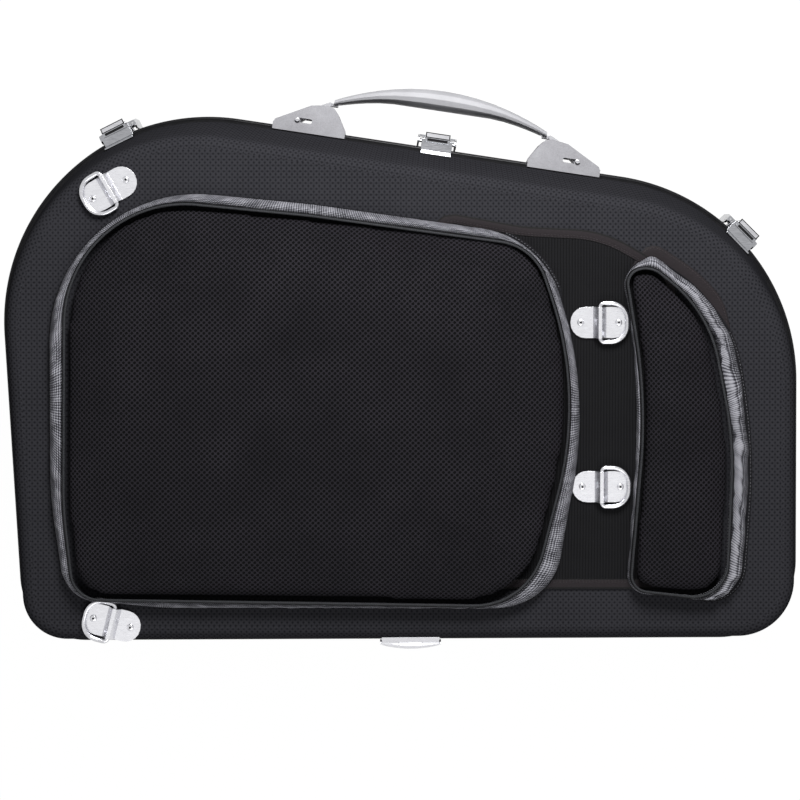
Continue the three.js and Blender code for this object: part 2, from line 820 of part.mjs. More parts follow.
// Soft pieces on the back
function pad(corners, steps, foot) {
  const base = faceHeight + foot;
  const edge = faceHeight + pipingHeight;
  const rim = [
    [padInset + padDrawIn, base], [padInset, base + pipingRadius],
    [padInset + padDrawIn / 2, (base + edge) / 2], [padInset, edge],
    [padInset + padDrawIn, edge + padFirstCrown],
  ];
  const sides = rim.map(([inset, z]) => level(corners, steps, inset, z));
  const top = sides[sides.length - 1];
  const heart = top.reduce((sum, p) => sum.add(p), new THREE.Vector3()).divideScalar(top.length);
  const crown = crownShares.map((share) => {
    const swell = (padCrown - padFirstCrown) * (1 - (1 - share) ** 2);
    return top.map((p) => p.clone().lerp(heart, share).setZ(p.z + swell));
  });
  return loft([...sides, ...crown]);
}

function gusset(corners, feet, steps, foot) {
  const top = faceHeight + pipingHeight - gussetTopDrop;
  const base = faceHeight + foot;
  const rings = [
    level(feet, steps, 0, base), level(corners, steps, -gussetThickness / 2, top),
    level(corners, steps, gussetThickness / 2, top), level(feet, steps, gussetThickness, base),
  ];
  return hoop((inset) => rings[inset], [[0, 0], [1, 0], [2, 0], [3, 0]]);
}

function piping(corners, steps) {
  const section = [];
  for (let side = 0; side < pipingSides; side += 1) {
    const angle = (2 * Math.PI * side) / pipingSides;
    section.push([pipingRadius * Math.cos(angle), pipingRadius * Math.sin(angle)]);
  }
  const height = faceHeight + pipingHeight;
  return hoop((inset, z) => level(corners, steps, inset, height + z), section);
}

const panelCorners = cornersOf(panelShares);
const panelTop = seatGap + panelThickness;
const ringRooms = [...rings.map(plateRoom), ...rings.map(ringRoom)];
const panelRoom = prism(
  panelCorners, panelSteps, faceHeight - overrun, faceHeight + panelTop + seatGap, -seatGap);
const panel = prism(panelCorners, panelSteps, faceHeight + seatGap, faceHeight + panelTop);
add('back_panel', cut(panel, ...rings.flatMap(screwRoom)), 'panel');

const padRows = [
  ['large', largePadShares, largeFootShares, largePadSteps],
  ['small', smallPadShares, smallFootShares, smallPadSteps],
];
padRows.forEach(([name, shares, footShares, steps]) => {
  const [corners, feet] = [cornersOf(shares), cornersOf(footShares)];
  add(name + '_pad', cut(pad(corners, steps, panelTop + seatGap), ...ringRooms), 'mesh');
  add(name + '_pad_gusset', cut(gusset(corners, feet, steps, seatGap), panelRoom, ...ringRooms), 'band');
  add(name + '_pad_piping', piping(corners, steps), 'piping');
});

// Latches, each in a frame with X along the rim, Y outwards and Z up from the seam
const latchPlaces = [
  ['left', onCorner(caseCorner.topLeft, latchLeftAngleDegrees)],
  ['middle', onTopEdge(handleCenterX)],
  ['right', onCorner(caseCorner.topRight, latchRightAngleDegrees)],
];
const wallOut = (z) => -wallInset(Math.abs(z));
const pivot = { y: latchPivotHeight, z: -rimHeight - latchPivotDrop + latchGap };
const hookPivot = { y: pivot.y, z: pivot.z - hookPivotDrop };
const latchFoot = pivot.z - latchLength;
const [earInner, earOuter] = [hookWidth / 2 + latchGap, hookWidth / 2 + latchGap + latchWall];
const [flangeInner, flangeOuter] = [latchWidth / 2 - latchWall, latchWidth / 2];

function arcPoints(center, radius, from, to, steps) {
  return Array.from({ length: steps + 1 }, (_, i) => {
    const angle = rad(from + ((to - from) * i) / steps);
    return [center.y + radius * Math.cos(angle), center.z + radius * Math.sin(angle)];
  });
}

function latchBase() {
  const [top, low] = [-rimHeight - seatGap, latchFoot];
  const at = (z, lift) => [wallOut(z) + seatGap + lift, z];
  const sole = [at(top, 0), at(top, latchWall), at(low, latchWall), at(low, 0)];
  const plate = sideProfile(sole, -earOuter, earOuter);
  const nose = arcPoints(pivot, earNoseRadius, 60, -60, 4);
  const ear = [at(top, 0), [pivot.y, top - latchGap], ...nose, at(pivot.z - earRootDrop, 0)];
  const ears = [[-earOuter, -earInner], [earInner, earOuter]].map(([a, b]) => sideProfile(ear, a, b));
  const pin = axle(latchPivotRadius, -flangeOuter, flangeOuter, pivot.y, pivot.z, screwSides);
  return join(plate, ...ears, pin);
}

function latchLever() {
  const lift = seatGap + latchWall + latchGap;
  const at = (z) => [wallOut(z) + lift, z];
  const skinTop = hookPivot.z - skinDrop;
  const round = arcPoints(pivot, collarRadius, 200, 20, 6);
  const flange = [
    at(latchFoot), [pivot.y - collarRadius, hookPivot.z], ...round,
    [latchHeight, skinTop], [latchHeight, latchFoot],
  ];
  const sides = [[-flangeOuter, -flangeInner], [flangeInner, flangeOuter]];
  const flanges = sides.map(([a, b]) => sideProfile(flange, a, b));
  const skin = box(
    -flangeOuter, flangeOuter, latchHeight - latchWall, latchHeight, latchFoot, skinTop);
  const tab = box(
    -earInner, earInner, latchHeight - latchWall, latchHeight + latchWall / 2, latchFoot, latchFoot + latchWall);
  const pivotHole = axle(latchPivotRadius + seatGap, -latchWidth, latchWidth, pivot.y, pivot.z, screwSides);
  const hookHole = axle(hookPinRadius + seatGap, -latchWidth, latchWidth, hookPivot.y, hookPivot.z, screwSides);
  return cut(join(skin, tab, ...flanges), pivotHole, hookHole);
}

const clawFoot = strikeReach + seatGap;
const hookOuter = latchHeight - latchWall - latchGap;
const hookInner = hookOuter - hookThickness;

function latchHook() {
  const eye = hookPinRadius + hookThickness;
  const top = clawFoot + hookThickness;
  const section = [
    ...arcPoints(hookPivot, eye, 110, 320, 6),
    [hookOuter, hookPivot.z + eye + hookThickness],
    [hookOuter, top - hookThickness / 2], [hookOuter - hookThickness / 2, top],
    [hookInner - hookClaw - hookThickness, top], [hookInner - hookClaw - hookThickness, clawFoot],
    [hookInner, clawFoot], [hookInner, hookPivot.z + eye * 2],
  ];
  const plate = sideProfile(section, -hookWidth / 2, hookWidth / 2);
  return join(plate, axle(hookPinRadius, -flangeOuter, flangeOuter, hookPivot.y, hookPivot.z, screwSides));
}

function strike() {
  const [low, high] = [shellEdgeDepth, shellEdgeDepth + strikeHeight];
  const at = (z, lift) => [wallOut(z) + seatGap + lift, z];
  const section = [
    at(low, 0), [hookInner - latchGap * 2, low], [hookInner - latchGap * 2, strikeReach],
    at(strikeReach, strikeThickness), at(high, strikeThickness), at(high, 0),
  ];
  return sideProfile(section, -strikeWidth / 2, strikeWidth / 2);
}

latchPlaces.forEach(([name, place]) => {
  const at = { ...place, z: seamHeight };
  add('latch_base_' + name, placed(latchBase(), at), 'metal');
  add('latch_lever_' + name, placed(latchLever(), at), 'metal');
  add('latch_hook_' + name, placed(latchHook(), at), 'metal');
  add('strike_' + name, placed(strike(), at), 'metal');
});

// Handle, in a frame with X along the top edge, Y outwards and Z up from the seam;
// the brackets ride on the back half's rim and reach over the front one
const handlePlace = { ...onTopEdge(handleCenterX), z: seamHeight };
const [handleFar, handleNear] = [handleNearReach - handleDepth, handleNearReach];
const cavityFar = handleFar + bracketCheek;
const cavityNear = handleNear - bracketCheek;
const bracketOuter = bracketInnerReach + bracketLength;
const bracketScrewPlaces = [bracketScrewInner, bracketScrewOuter].map((along) => bracketInnerReach + along);
const bracketScrewZ = (seamHalfGap + rimHeight) / 2;

function bracketHole(x) {
  const hole = bar(screwShankRadius + screwGap, -bracketScrewReach - overrun, overrun, screwSides);
  return hole.rotateX(-Math.PI / 2).translate(x, 0, bracketScrewZ);
}

// The right-hand bracket; the left one is its mirror image
function bracket() {
  const alongBracket = (share) => bracketInnerReach + bracketLength * share;
  const [peakInner, peakOuter] = [alongBracket(peakInnerShare), alongBracket(peakOuterShare)];
  const cheek = [
    [bracketInnerReach, bracketRimGap], [bracketInnerReach + bracketCheek / 2, bracketToeHeight],
    ...innerSlopeShares.map(([along, up]) => [alongBracket(along), bracketTopHeight * up]),
    [peakInner, bracketTopHeight], [peakOuter, bracketShoulderHeight],
    [bracketOuter - bracketCheek / 2, bracketToeHeight], [bracketOuter, bracketRimGap],
  ].reverse();
  const roofFall = (bracketShoulderHeight - bracketToeHeight) / (bracketOuter - peakOuter);
  const hollowTop = bracketShoulderHeight - bracketRoof;
  const hollow = [
    [bracketInnerReach - overrun, bracketRimGap + bracketFloor],
    [bracketInnerReach - overrun, bracketTopHeight + overrun],
    [peakOuter, bracketTopHeight + overrun], [peakOuter, hollowTop],
    [peakOuter + (hollowTop - bracketRimGap - bracketFloor) / roofFall, bracketRimGap + bracketFloor],
  ].reverse();
  const flange = box(
    bracketInnerReach, bracketOuter, -bracketFlangeDrop, bracketRimGap + bracketFloor,
    handleNear - bracketFlangeThickness, handleNear);
  const reach = pinReach - slotTravel / 2;
  const slotRadius = pinRadius + slotGap;
  const slotCorners = boxCorners(slotTravel + slotRadius * 2, slotRadius * 2, slotRadius);
  const slot = prism(slotCorners, [3, 3, 3, 3], handleFar - overrun, handleNear + overrun);
  slot.translate(reach, pinHeight, 0);
  const body = join(profile(cheek, handleFar, handleNear), flange);
  const holes = bracketScrewPlaces.map((x) => bracketHole(x));
  return cut(body, profile(hollow, cavityFar, cavityNear), slot, ...holes);
}

// The strap end: an eye on the pin, an arm that rises through the bracket's open top and a tab for the grip
function strapLink() {
  const [tipX, tipY] = [-linkLength, linkRise];
  const [kneeX, kneeY] = [tipX * kneeShare, tipY * kneeShare + kneeLift];
  const section = [
    ...arcPoints({ y: 0, z: 0 }, linkEyeRadius, 60, -180, 6),
    [kneeX - linkThickness / 2, kneeY - linkThickness / 2],
    [tipX, tipY - linkThickness], [tipX, tipY - linkTipRound],
    [tipX + linkTipRound, tipY],
    [kneeX + linkThickness / 2, kneeY + linkThickness / 2],
  ].reverse();
  const arm = profile(section, -linkWidth / 2, linkWidth / 2);
  const tab = box(
    tipX - gripEndGap - tabLength, tipX + linkTipRound, tipY - linkThickness + tabRelief, tipY - tabRelief,
    -tabWidth / 2, tabWidth / 2);
  const bore = bar(pinRadius + seatGap, -linkWidth, linkWidth, screwSides);
  return cut(join(arm, tab), bore);
}

function handlePin() {
  const [low, high] = [handleFar - seatGap, handleNear + seatGap];
  return turned([
    [0, low - pinHeadHeight], [pinHeadRadius * screwDomeShare, low - pinHeadHeight],
    [pinHeadRadius, low - pinHeadHeight / 2], [pinHeadRadius, low], [pinRadius, low],
    [pinRadius, high], [pinHeadRadius, high], [pinHeadRadius, high + pinHeadHeight / 2],
    [pinHeadRadius * screwDomeShare, high + pinHeadHeight], [0, high + pinHeadHeight],
  ], screwSides);
}

// The grip: a bow whose section is thickest in the middle, with a fork at each end for a strap's tab
function grip() {
  const reach = pinReach - linkLength - gripEndGap;
  const middle = (handleFar + handleNear) / 2;
  const rings = [];
  for (let step = 0; step <= gripSteps; step += 1) {
    const x = -reach * Math.cos((Math.PI * step) / gripSteps);
    const share = Math.abs(x) / reach;
    const top = gripTopHeight - gripTopDrop * share ** 2;
    const past = Math.max(0, (Math.abs(x) - gripFlatReach) / (reach - gripFlatReach));
    const under = gripUnderHeight - gripUnderDrop * past ** gripUnderPower;
    const half = (gripWidth - (gripWidth - gripEndWidth) * share ** 2) / 2;
    const [center, rise] = [(top + under) / 2, (top - under) / 2];
    const ring = [];
    for (let side = 0; side < gripSides; side += 1) {
      const angle = (2 * Math.PI * side) / gripSides;
      const across = Math.sign(Math.cos(angle)) * Math.abs(Math.cos(angle)) ** gripSquareness;
      const up = Math.sign(Math.sin(angle)) * Math.abs(Math.sin(angle)) ** gripSquareness;
      ring.push(new THREE.Vector3(x, center + rise * up, middle + half * across));
    }
    rings.push(ring);
  }
  const half = tabWidth / 2 + seatGap;
  const forks = [[-reach - overrun, -reach + forkDepth], [reach - forkDepth, reach + overrun]];
  return cut(sweptLoft(rings), ...forks.map(([from, to]) =>
    box(from, to, gripUnderHeight - bracketTopHeight, gripTopHeight, middle - half, middle + half)));
}

// A loft whose end rings stand square to X: each end closes on its middle point
function sweptLoft(rings) {
  const count = rings[0].length;
  const middleOf = (ring) => ring.reduce((sum, p) => sum.add(p), new THREE.Vector3()).divideScalar(count);
  const ends = [middleOf(rings[0]), middleOf(rings[rings.length - 1])];
  const positions = [...rings.flat(), ...ends].flatMap((p) => [p.x, p.y, p.z]);
  const faces = [];
  const last = (rings.length - 1) * count;
  for (let i = 0; i < count; i += 1) {
    const j = (i + 1) % count;
    for (let ring = 0; ring < last; ring += count) {
      faces.push([ring + i, ring + j, ring + count + j], [ring + i, ring + count + j, ring + count + i]);
    }
    faces.push([j, i, last + count], [last + i, last + j, last + count + 1]);
  }
  return facingOut(positions, faces);
}

add('handle_grip', placed(grip(), handlePlace), 'grip');
[['left', -1], ['right', 1]].forEach(([name, way]) => {
  const mirrored = (geometry) => (way > 0 ? geometry : mirrorX(geometry));
  add('handle_bracket_' + name, placed(mirrored(bracket()), handlePlace), 'bracket');
  const middle = (handleFar + handleNear) / 2;
  const link = strapLink().translate(pinReach, pinHeight, middle);
  add('handle_link_' + name, placed(mirrored(link), handlePlace), 'grip');
  bracketScrewPlaces.forEach((x, i) => {
    const piece = screw(bracketRimGap + bracketFloor, bracketScrewReach).rotateX(-Math.PI / 2);
    const screwed = mirrored(piece.translate(x, 0, bracketScrewZ));
    add('bracket_screw_' + name + '_' + (i ? 'outer' : 'inner'), placed(screwed, handlePlace), 'metal');
  });
  add('handle_pin_' + name, placed(mirrored(handlePin().translate(pinReach, pinHeight, 0)), handlePlace), 'metal');
});

function mirrorX(geometry) {
  const copy = toGeometry(toSolid(geometry));
  const positions = [...copy.getAttribute('position').array].map((v, i) => (i % 3 ? v : -v));
  const index = [...copy.index.array];
  const faces = [];
  for (let i = 0; i < index.length; i += 3) faces.push(index.slice(i, i + 3));
  return facingOut(positions, faces);
}

const rimHoles = bracketScrewPlaces.flatMap((x) => [x, -x]).map((x) => placed(bracketHole(x), handlePlace));
const backRim = cut(hoop(backRing, rimSection('back')), barrelPocket, pinHeadPocket, ...rimHoles);
add('back_rim', backRim, 'rim');

// The part's origin is the middle of its footprint, on the ground
const bounds = new THREE.Box3().setFromObject(model);
const middle = bounds.getCenter(new THREE.Vector3());
model.position.set(-middle.x, -middle.y, -bounds.min.z);

export default part;
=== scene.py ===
import json
import math

import bmesh
import bpy
import numpy as np
from mathutils import Matrix, Vector, noise


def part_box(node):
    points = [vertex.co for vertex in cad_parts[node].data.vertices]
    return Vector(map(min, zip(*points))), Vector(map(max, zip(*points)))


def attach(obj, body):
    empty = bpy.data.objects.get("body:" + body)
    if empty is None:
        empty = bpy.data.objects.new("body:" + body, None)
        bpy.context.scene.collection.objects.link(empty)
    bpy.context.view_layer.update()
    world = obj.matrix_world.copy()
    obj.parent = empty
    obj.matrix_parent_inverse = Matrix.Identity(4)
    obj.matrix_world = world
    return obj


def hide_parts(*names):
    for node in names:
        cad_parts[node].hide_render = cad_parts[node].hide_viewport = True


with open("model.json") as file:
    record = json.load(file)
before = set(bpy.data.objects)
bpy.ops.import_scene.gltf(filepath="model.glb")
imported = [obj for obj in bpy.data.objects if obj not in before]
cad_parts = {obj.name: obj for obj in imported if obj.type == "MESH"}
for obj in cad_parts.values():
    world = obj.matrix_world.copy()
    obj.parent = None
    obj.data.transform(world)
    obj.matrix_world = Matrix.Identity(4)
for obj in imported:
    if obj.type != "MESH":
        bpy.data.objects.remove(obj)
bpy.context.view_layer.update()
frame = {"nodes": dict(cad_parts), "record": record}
nodes = frame["nodes"]
bodyOf = {node: body for body, names in frame["record"]["behaviour"]["bodies"].items() for node in names}
mm = 0.001


# Camera: above the pads, tilted a little and shifted, as the photograph was taken
cameraView = {"place": (-0.0006, 0.1058, 1.60098), "tiltDegrees": -1.5, "lens": 86.31, "sensor": 36,
              "shiftY": -0.1433, "clipEnd": 20}


def makeCamera(view):
    data = bpy.data.cameras.new("productCamera")
    data.lens = view["lens"]
    data.sensor_width = view["sensor"]
    data.shift_y = view["shiftY"]
    data.clip_end = view["clipEnd"]
    data.dof.use_dof = False
    camera = bpy.data.objects.new("productCamera", data)
    camera.location = view["place"]
    camera.rotation_euler = (math.radians(view["tiltDegrees"]), 0, 0)
    bpy.context.scene.collection.objects.link(camera)
    bpy.context.scene.camera = camera


makeCamera(cameraView)
print("camera made")


# Material helpers

def linear(hexColour):
    channels = [int(hexColour[i:i + 2], 16) / 255 for i in (1, 3, 5)]
    return tuple(c / 12.92 if c <= 0.04045 else ((c + 0.055) / 1.055) ** 2.4 for c in channels) + (1,)


# Sockets are linked, numbers and colours set as plain values
def feed(tree, node, inputs):
    for key, value in inputs.items():
        if isinstance(value, bpy.types.NodeSocket):
            tree.links.new(value, node.inputs[key])
        else:
            node.inputs[key].default_value = value


def addNode(tree, kind, inputs=None, **settings):
    node = tree.nodes.new(kind)
    for key, value in settings.items():
        setattr(node, key, value)
    feed(tree, node, inputs or {})
    return node


def calc(tree, operation, a, b=0.0, c=0.0):
    return addNode(tree, "ShaderNodeMath", {0: a, 1: b, 2: c}, operation=operation).outputs[0]


def ramp(tree, fac, stops):
    node = addNode(tree, "ShaderNodeValToRGB", {"Fac": fac})
    elements = node.color_ramp.elements
    while len(elements) < len(stops):
        elements.new(0.5)
    for element, (position, colour) in zip(elements, stops):
        element.position = position
        element.color = linear(colour)
    return node.outputs["Color"]


# From dark to light over a range of the value
def twoTones(tree, fac, tones):
    low, high = tones.get("range", (0.3, 0.7))
    return ramp(tree, fac, [(low, tones["dark"]), (high, tones["light"])])


def between(tree, value, low, high):
    node = addNode(tree, "ShaderNodeMapRange", {"Value": value, "From Min": low, "From Max": high},
                   interpolation_type="SMOOTHSTEP")
    return node.outputs[0]


def blend(tree, share, below, above):
    node = addNode(tree, "ShaderNodeMix", {"Factor": share, "A": below, "B": above}, data_type="RGBA")
    return node.outputs["Result"]


# Two values added by their shares, which make one
def mixed(tree, value, share, other):
    return calc(tree, "MULTIPLY_ADD", value, share, calc(tree, "MULTIPLY", other, 1 - share))


# A value from 0 to 1 made one about zero
def centred(tree, value, width):
    return calc(tree, "MULTIPLY_ADD", value, width, -width / 2)


# A sine that repeats at every pitch along a value in metres
def waveAlong(tree, value, pitchMm):
    return calc(tree, "SINE", calc(tree, "MULTIPLY", value, 2 * math.pi * 1000 / pitchMm))


def newMaterial(name):
    material = bpy.data.materials.new(name)
    material.use_nodes = True
    tree = material.node_tree
    return material, tree, tree.nodes["Principled BSDF"]


def objectPoint(tree):
    return addNode(tree, "ShaderNodeTexCoord").outputs["Object"]


def splitXyz(tree, vector):
    node = addNode(tree, "ShaderNodeSeparateXYZ", {0: vector})
    return node.outputs[0], node.outputs[1], node.outputs[2]


def weaveMap(tree):
    return splitXyz(tree, addNode(tree, "ShaderNodeUVMap", uv_map="weave").outputs["UV"])


def stretched(tree, vector, scale):
    return addNode(tree, "ShaderNodeMapping", {"Vector": vector, "Scale": scale}).outputs[0]


def noiseValue(tree, vector, sizeMm, detail=3.0, contrast=0.55):
    node = addNode(tree, "ShaderNodeTexNoise", {
        "Vector": vector, "Scale": 1000 / sizeMm, "Detail": detail, "Roughness": contrast})
    return node.outputs["Fac"]


def cells(tree, vector, sizeMm):
    return addNode(tree, "ShaderNodeTexVoronoi", {"Vector": vector, "Scale": 1000 / sizeMm}).outputs


# A relief is a depth in millimetres and a strength
def bump(tree, height, relief):
    depthMm, strength = relief
    node = addNode(tree, "ShaderNodeBump", {"Height": height, "Distance": depthMm * mm, "Strength": strength})
    return node.outputs["Normal"]


# Woven glass-fibre composite, moulded and lacquered satin: a diamond cloth with a dark pinhole at each
# crossing
def wovenShellMaterial():
    weave = {"acrossMm": 4.0, "upMm": 4.3, "relief": (0.16, 0.8), "crossing": 0.12, "cloudMm": 45,
             "cloud": 0.3, "grainMm": 1.3, "grain": 0.2, "glossMm": 4, "roughness": 0.38, "roughRange": 0.16,
             "pinhole": "#1d1d20", "cloth": "#343438"}
    material, tree, shader = newMaterial("wovenCompositeSatinLacquer")
    along, up, _ = weaveMap(tree)
    a = calc(tree, "MULTIPLY", along, math.pi * 1000 / weave["acrossMm"])
    b = calc(tree, "MULTIPLY", up, math.pi * 1000 / weave["upMm"])
    warp = calc(tree, "SINE", calc(tree, "ADD", a, b))
    weft = calc(tree, "SINE", calc(tree, "SUBTRACT", a, b))
    over = calc(tree, "MULTIPLY", warp, weft)
    clear = calc(tree, "MAXIMUM", calc(tree, "ABSOLUTE", warp), calc(tree, "ABSOLUTE", weft))
    point = objectPoint(tree)
    cloudy = centred(tree, noiseValue(tree, point, weave["cloudMm"]), weave["cloud"])
    fine = centred(tree, noiseValue(tree, point, weave["grainMm"]), weave["grain"])
    woven = calc(tree, "MULTIPLY_ADD", over, weave["crossing"], clear)
    tint = calc(tree, "ADD", woven, calc(tree, "ADD", cloudy, fine))
    gloss = noiseValue(tree, point, weave["glossMm"])
    feed(tree, shader, {
        "Base Color": ramp(tree, tint, [(0.3, weave["pinhole"]), (1.0, weave["cloth"])]),
        "Roughness": calc(tree, "MULTIPLY_ADD", gloss, weave["roughRange"], weave["roughness"]),
        "Normal": bump(tree, clear, weave["relief"]), "IOR": 1.5, "Specular IOR Level": 0.0})
    return material


# Aluminium edge profile, powder coated black: fine orange peel and a satin sheen on its shoulder
def coatedRimMaterial():
    coat = {"peelMm": 1.1, "relief": (0.03, 0.5), "patchMm": 7, "roughness": 0.24, "roughRange": 0.15,
            "dark": "#0f0f11", "light": "#19191b"}
    material, tree, shader = newMaterial("aluminiumPowderCoatedBlack")
    point = objectPoint(tree)
    peel = noiseValue(tree, point, coat["peelMm"])
    feed(tree, shader, {
        "Base Color": twoTones(tree, noiseValue(tree, point, coat["patchMm"]), coat),
        "Roughness": calc(tree, "MULTIPLY_ADD", peel, coat["roughRange"], coat["roughness"]),
        "Normal": bump(tree, peel, coat["relief"]), "Specular IOR Level": 0.12})
    return material


# Cellular rubber, extruded: open matt pores
def spongeSealMaterial():
    sponge = {"poreMm": 0.7, "relief": (0.1, 0.6), "range": (0.1, 0.6), "dark": "#050506", "light": "#121213"}
    material, tree, shader = newMaterial("cellularRubberSeal")
    pores = cells(tree, objectPoint(tree), sponge["poreMm"])["Distance"]
    feed(tree, shader, {
        "Base Color": twoTones(tree, pores, sponge),
        "Normal": bump(tree, pores, sponge["relief"]),
        "Roughness": 0.9, "Specular IOR Level": 0.15})
    return material


# Plush over foam, flocked: short pile that goes light and dark in patches and glows at its edges
def plushMaterial():
    plush = {"patchMm": 28, "pileMm": 1.1, "pileShare": 0.5, "contrast": 0.7, "relief": (0.8, 0.8),
             "dark": "#101012", "light": "#34343a"}
    material, tree, shader = newMaterial("plushOverFoam")
    point = objectPoint(tree)
    patches = noiseValue(tree, point, plush["patchMm"], detail=5, contrast=plush["contrast"])
    pile = noiseValue(tree, point, plush["pileMm"], detail=4, contrast=plush["contrast"])
    value = mixed(tree, pile, plush["pileShare"], patches)
    feed(tree, shader, {
        "Base Color": twoTones(tree, value, plush), "Normal": bump(tree, value, plush["relief"]),
        "Roughness": 0.95, "Specular IOR Level": 0.1, "Sheen Weight": 0.35, "Sheen Roughness": 0.4})
    return material


# Staggered slanting holes: 1 inside a hole, 0 on the yarn between them
def holeRows(tree, x, y, mesh):
    def reach(shift):
        offsets = []
        for value, pitch in ((x, mesh["acrossMm"]), (y, mesh["upMm"])):
            share = calc(tree, "FRACT", calc(tree, "MULTIPLY_ADD", value, 1000 / pitch, shift))
            offsets.append(calc(tree, "MULTIPLY", calc(tree, "SUBTRACT", share, 0.5), pitch * math.sqrt(0.5)))
        long = calc(tree, "DIVIDE", calc(tree, "ADD", *offsets), mesh["holeLongMm"] / 2)
        wide = calc(tree, "DIVIDE", calc(tree, "SUBTRACT", *offsets), mesh["holeWideMm"] / 2)
        return calc(tree, "SQRT", calc(tree, "MULTIPLY_ADD", long, long, calc(tree, "MULTIPLY", wide, wide)))
    nearest = calc(tree, "MINIMUM", reach(0.0), reach(0.5))
    return calc(tree, "SUBTRACT", 1.0, between(tree, nearest, 1 - mesh["soft"], 1 + mesh["soft"]))


# Warp-knitted spacer mesh: soft charcoal yarn with staggered open holes, coloured near black as painted shade
# for the depth seen through them
def spacerMeshMaterial():
    mesh = {"acrossMm": 4.05, "upMm": 3.9, "holeLongMm": 2.15, "holeWideMm": 1.95, "soft": 0.22,
            "relief": (0.5, 0.8), "yarnMm": 0.9, "yarnRelief": 0.25, "patchMm": 45, "patchShare": 0.5,
            "range": (0.3, 0.65), "dark": "#1b1a1e", "light": "#2b292e", "hole": "#050506"}
    material, tree, shader = newMaterial("spacerMeshKnitted")
    point = objectPoint(tree)
    cloth = addNode(tree, "ShaderNodeAttribute", attribute_name="cloth").outputs["Vector"]
    x, y, _ = splitXyz(tree, cloth)
    holes = holeRows(tree, x, y, mesh)
    yarn = noiseValue(tree, point, mesh["yarnMm"], detail=3, contrast=0.6)
    value = mixed(tree, noiseValue(tree, point, mesh["patchMm"]), mesh["patchShare"], yarn)
    pit = calc(tree, "SUBTRACT", calc(tree, "MULTIPLY", yarn, mesh["yarnRelief"]), holes)
    # Painted shade: inside the holes the colour goes near black
    feed(tree, shader, {
        "Base Color": blend(tree, holes, twoTones(tree, value, mesh), linear(mesh["hole"])),
        "Normal": bump(tree, pit, mesh["relief"]), "Roughness": 0.85, "Specular IOR Level": 0.08})
    return material


# Knitted polyester band: a fine grid of pale cells, with painted shade in its folds' hollows and painted
# light on their swells
def knitBandMaterial():
    band = {"alongMm": 1.65, "acrossMm": 1.4, "cellRange": 0.42, "cellTone": 0.7, "foldShadeTone": 0.4,
            "mottleMm": 2.2, "mottle": 0.4, "tone": -0.25, "relief": (0.25, 0.8),
            "dark": "#242428", "middle": "#5d5d64", "light": "#a4a4ab"}
    material, tree, shader = newMaterial("polyesterBandKnitted")
    along, across, _ = weaveMap(tree)
    grid = 0.5
    for value, pitch in ((along, band["alongMm"]), (across, band["acrossMm"])):
        grid = calc(tree, "MULTIPLY_ADD", waveAlong(tree, value, pitch), band["cellRange"], grid)
    # The fold value is painted light and shade: high where the cloth swells out, low in its hollows and at a
    # joint's creases
    fold = addNode(tree, "ShaderNodeAttribute", attribute_name="fold").outputs["Fac"]
    mottled = noiseValue(tree, objectPoint(tree), band["mottleMm"], detail=4, contrast=0.75)
    worn = calc(tree, "MULTIPLY_ADD", mottled, band["mottle"], band["tone"])
    light = calc(tree, "MULTIPLY_ADD", grid, band["cellTone"], worn)
    value = calc(tree, "MULTIPLY_ADD", fold, band["foldShadeTone"], light)
    feed(tree, shader, {
        "Base Color": ramp(tree, value, [(0.15, band["dark"]), (0.5, band["middle"]), (0.9, band["light"])]),
        "Normal": bump(tree, grid, band["relief"]), "Roughness": 0.75, "Specular IOR Level": 0.2})
    return material


# Nylon tape folded over a cord and sewn: grey on top, with painted shade that makes it near black below a
# height by the cord's middle, over its lower side and flat edge
def pipingMaterial():
    tape = {"shadeBelowMm": -0.1, "softMm": 0.3, "wrapMm": 1.4, "wrap": 0.12, "fuzzMm": 1.2,
            "relief": (0.12, 0.6), "edge": "#09090a", "dark": "#292a2c", "light": "#3b3c3f"}
    material, tree, shader = newMaterial("nylonTapeOverCord")
    point = objectPoint(tree)
    along, _, _ = weaveMap(tree)
    _, _, height = splitXyz(tree, point)
    centre = (sizes["face"] + padSizes["pipingHeight"]) * mm
    lift = calc(tree, "MULTIPLY", calc(tree, "SUBTRACT", height, centre), 1000)
    # Painted shade: below this height the tape takes the near black edge tone
    aboveShadeLine = between(tree, lift, tape["shadeBelowMm"] - tape["softMm"], tape["shadeBelowMm"] + tape["softMm"])
    fuzz = noiseValue(tree, point, tape["fuzzMm"])
    value = calc(tree, "MULTIPLY_ADD", waveAlong(tree, along, tape["wrapMm"]), tape["wrap"], fuzz)
    feed(tree, shader, {
        "Base Color": blend(tree, aboveShadeLine, linear(tape["edge"]), twoTones(tree, value, tape)),
        "Normal": bump(tree, value, tape["relief"]), "Roughness": 0.62, "Specular IOR Level": 0.1})
    return material


# Corded polyester, woven: narrow raised ribs that run up the case
def ribbedClothMaterial():
    cloth = {"ribMm": 2.15, "crossMm": 1.1, "cross": 0.3, "driftWaveMm": 90, "driftMm": 2.0, "patchMm": 14,
             "patch": 0.5, "relief": (0.4, 0.8), "range": (0.1, 1.0), "dark": "#060607", "light": "#171719"}
    material, tree, shader = newMaterial("cordedClothWoven")
    point = objectPoint(tree)
    x, y, _ = splitXyz(tree, point)
    drift = calc(tree, "MULTIPLY", noiseValue(tree, point, cloth["driftWaveMm"]), cloth["driftMm"] * mm)
    ribs = calc(tree, "ABSOLUTE", waveAlong(tree, calc(tree, "ADD", x, drift), 2 * cloth["ribMm"]))
    cross = calc(tree, "ABSOLUTE", waveAlong(tree, y, 2 * cloth["crossMm"]))
    patches = centred(tree, noiseValue(tree, point, cloth["patchMm"]), cloth["patch"])
    height = calc(tree, "MULTIPLY_ADD", cross, cloth["cross"], ribs)
    feed(tree, shader, {
        "Base Color": twoTones(tree, calc(tree, "ADD", height, patches), cloth),
        "Normal": bump(tree, height, cloth["relief"]), "Roughness": 0.85, "Specular IOR Level": 0.12})
    return material
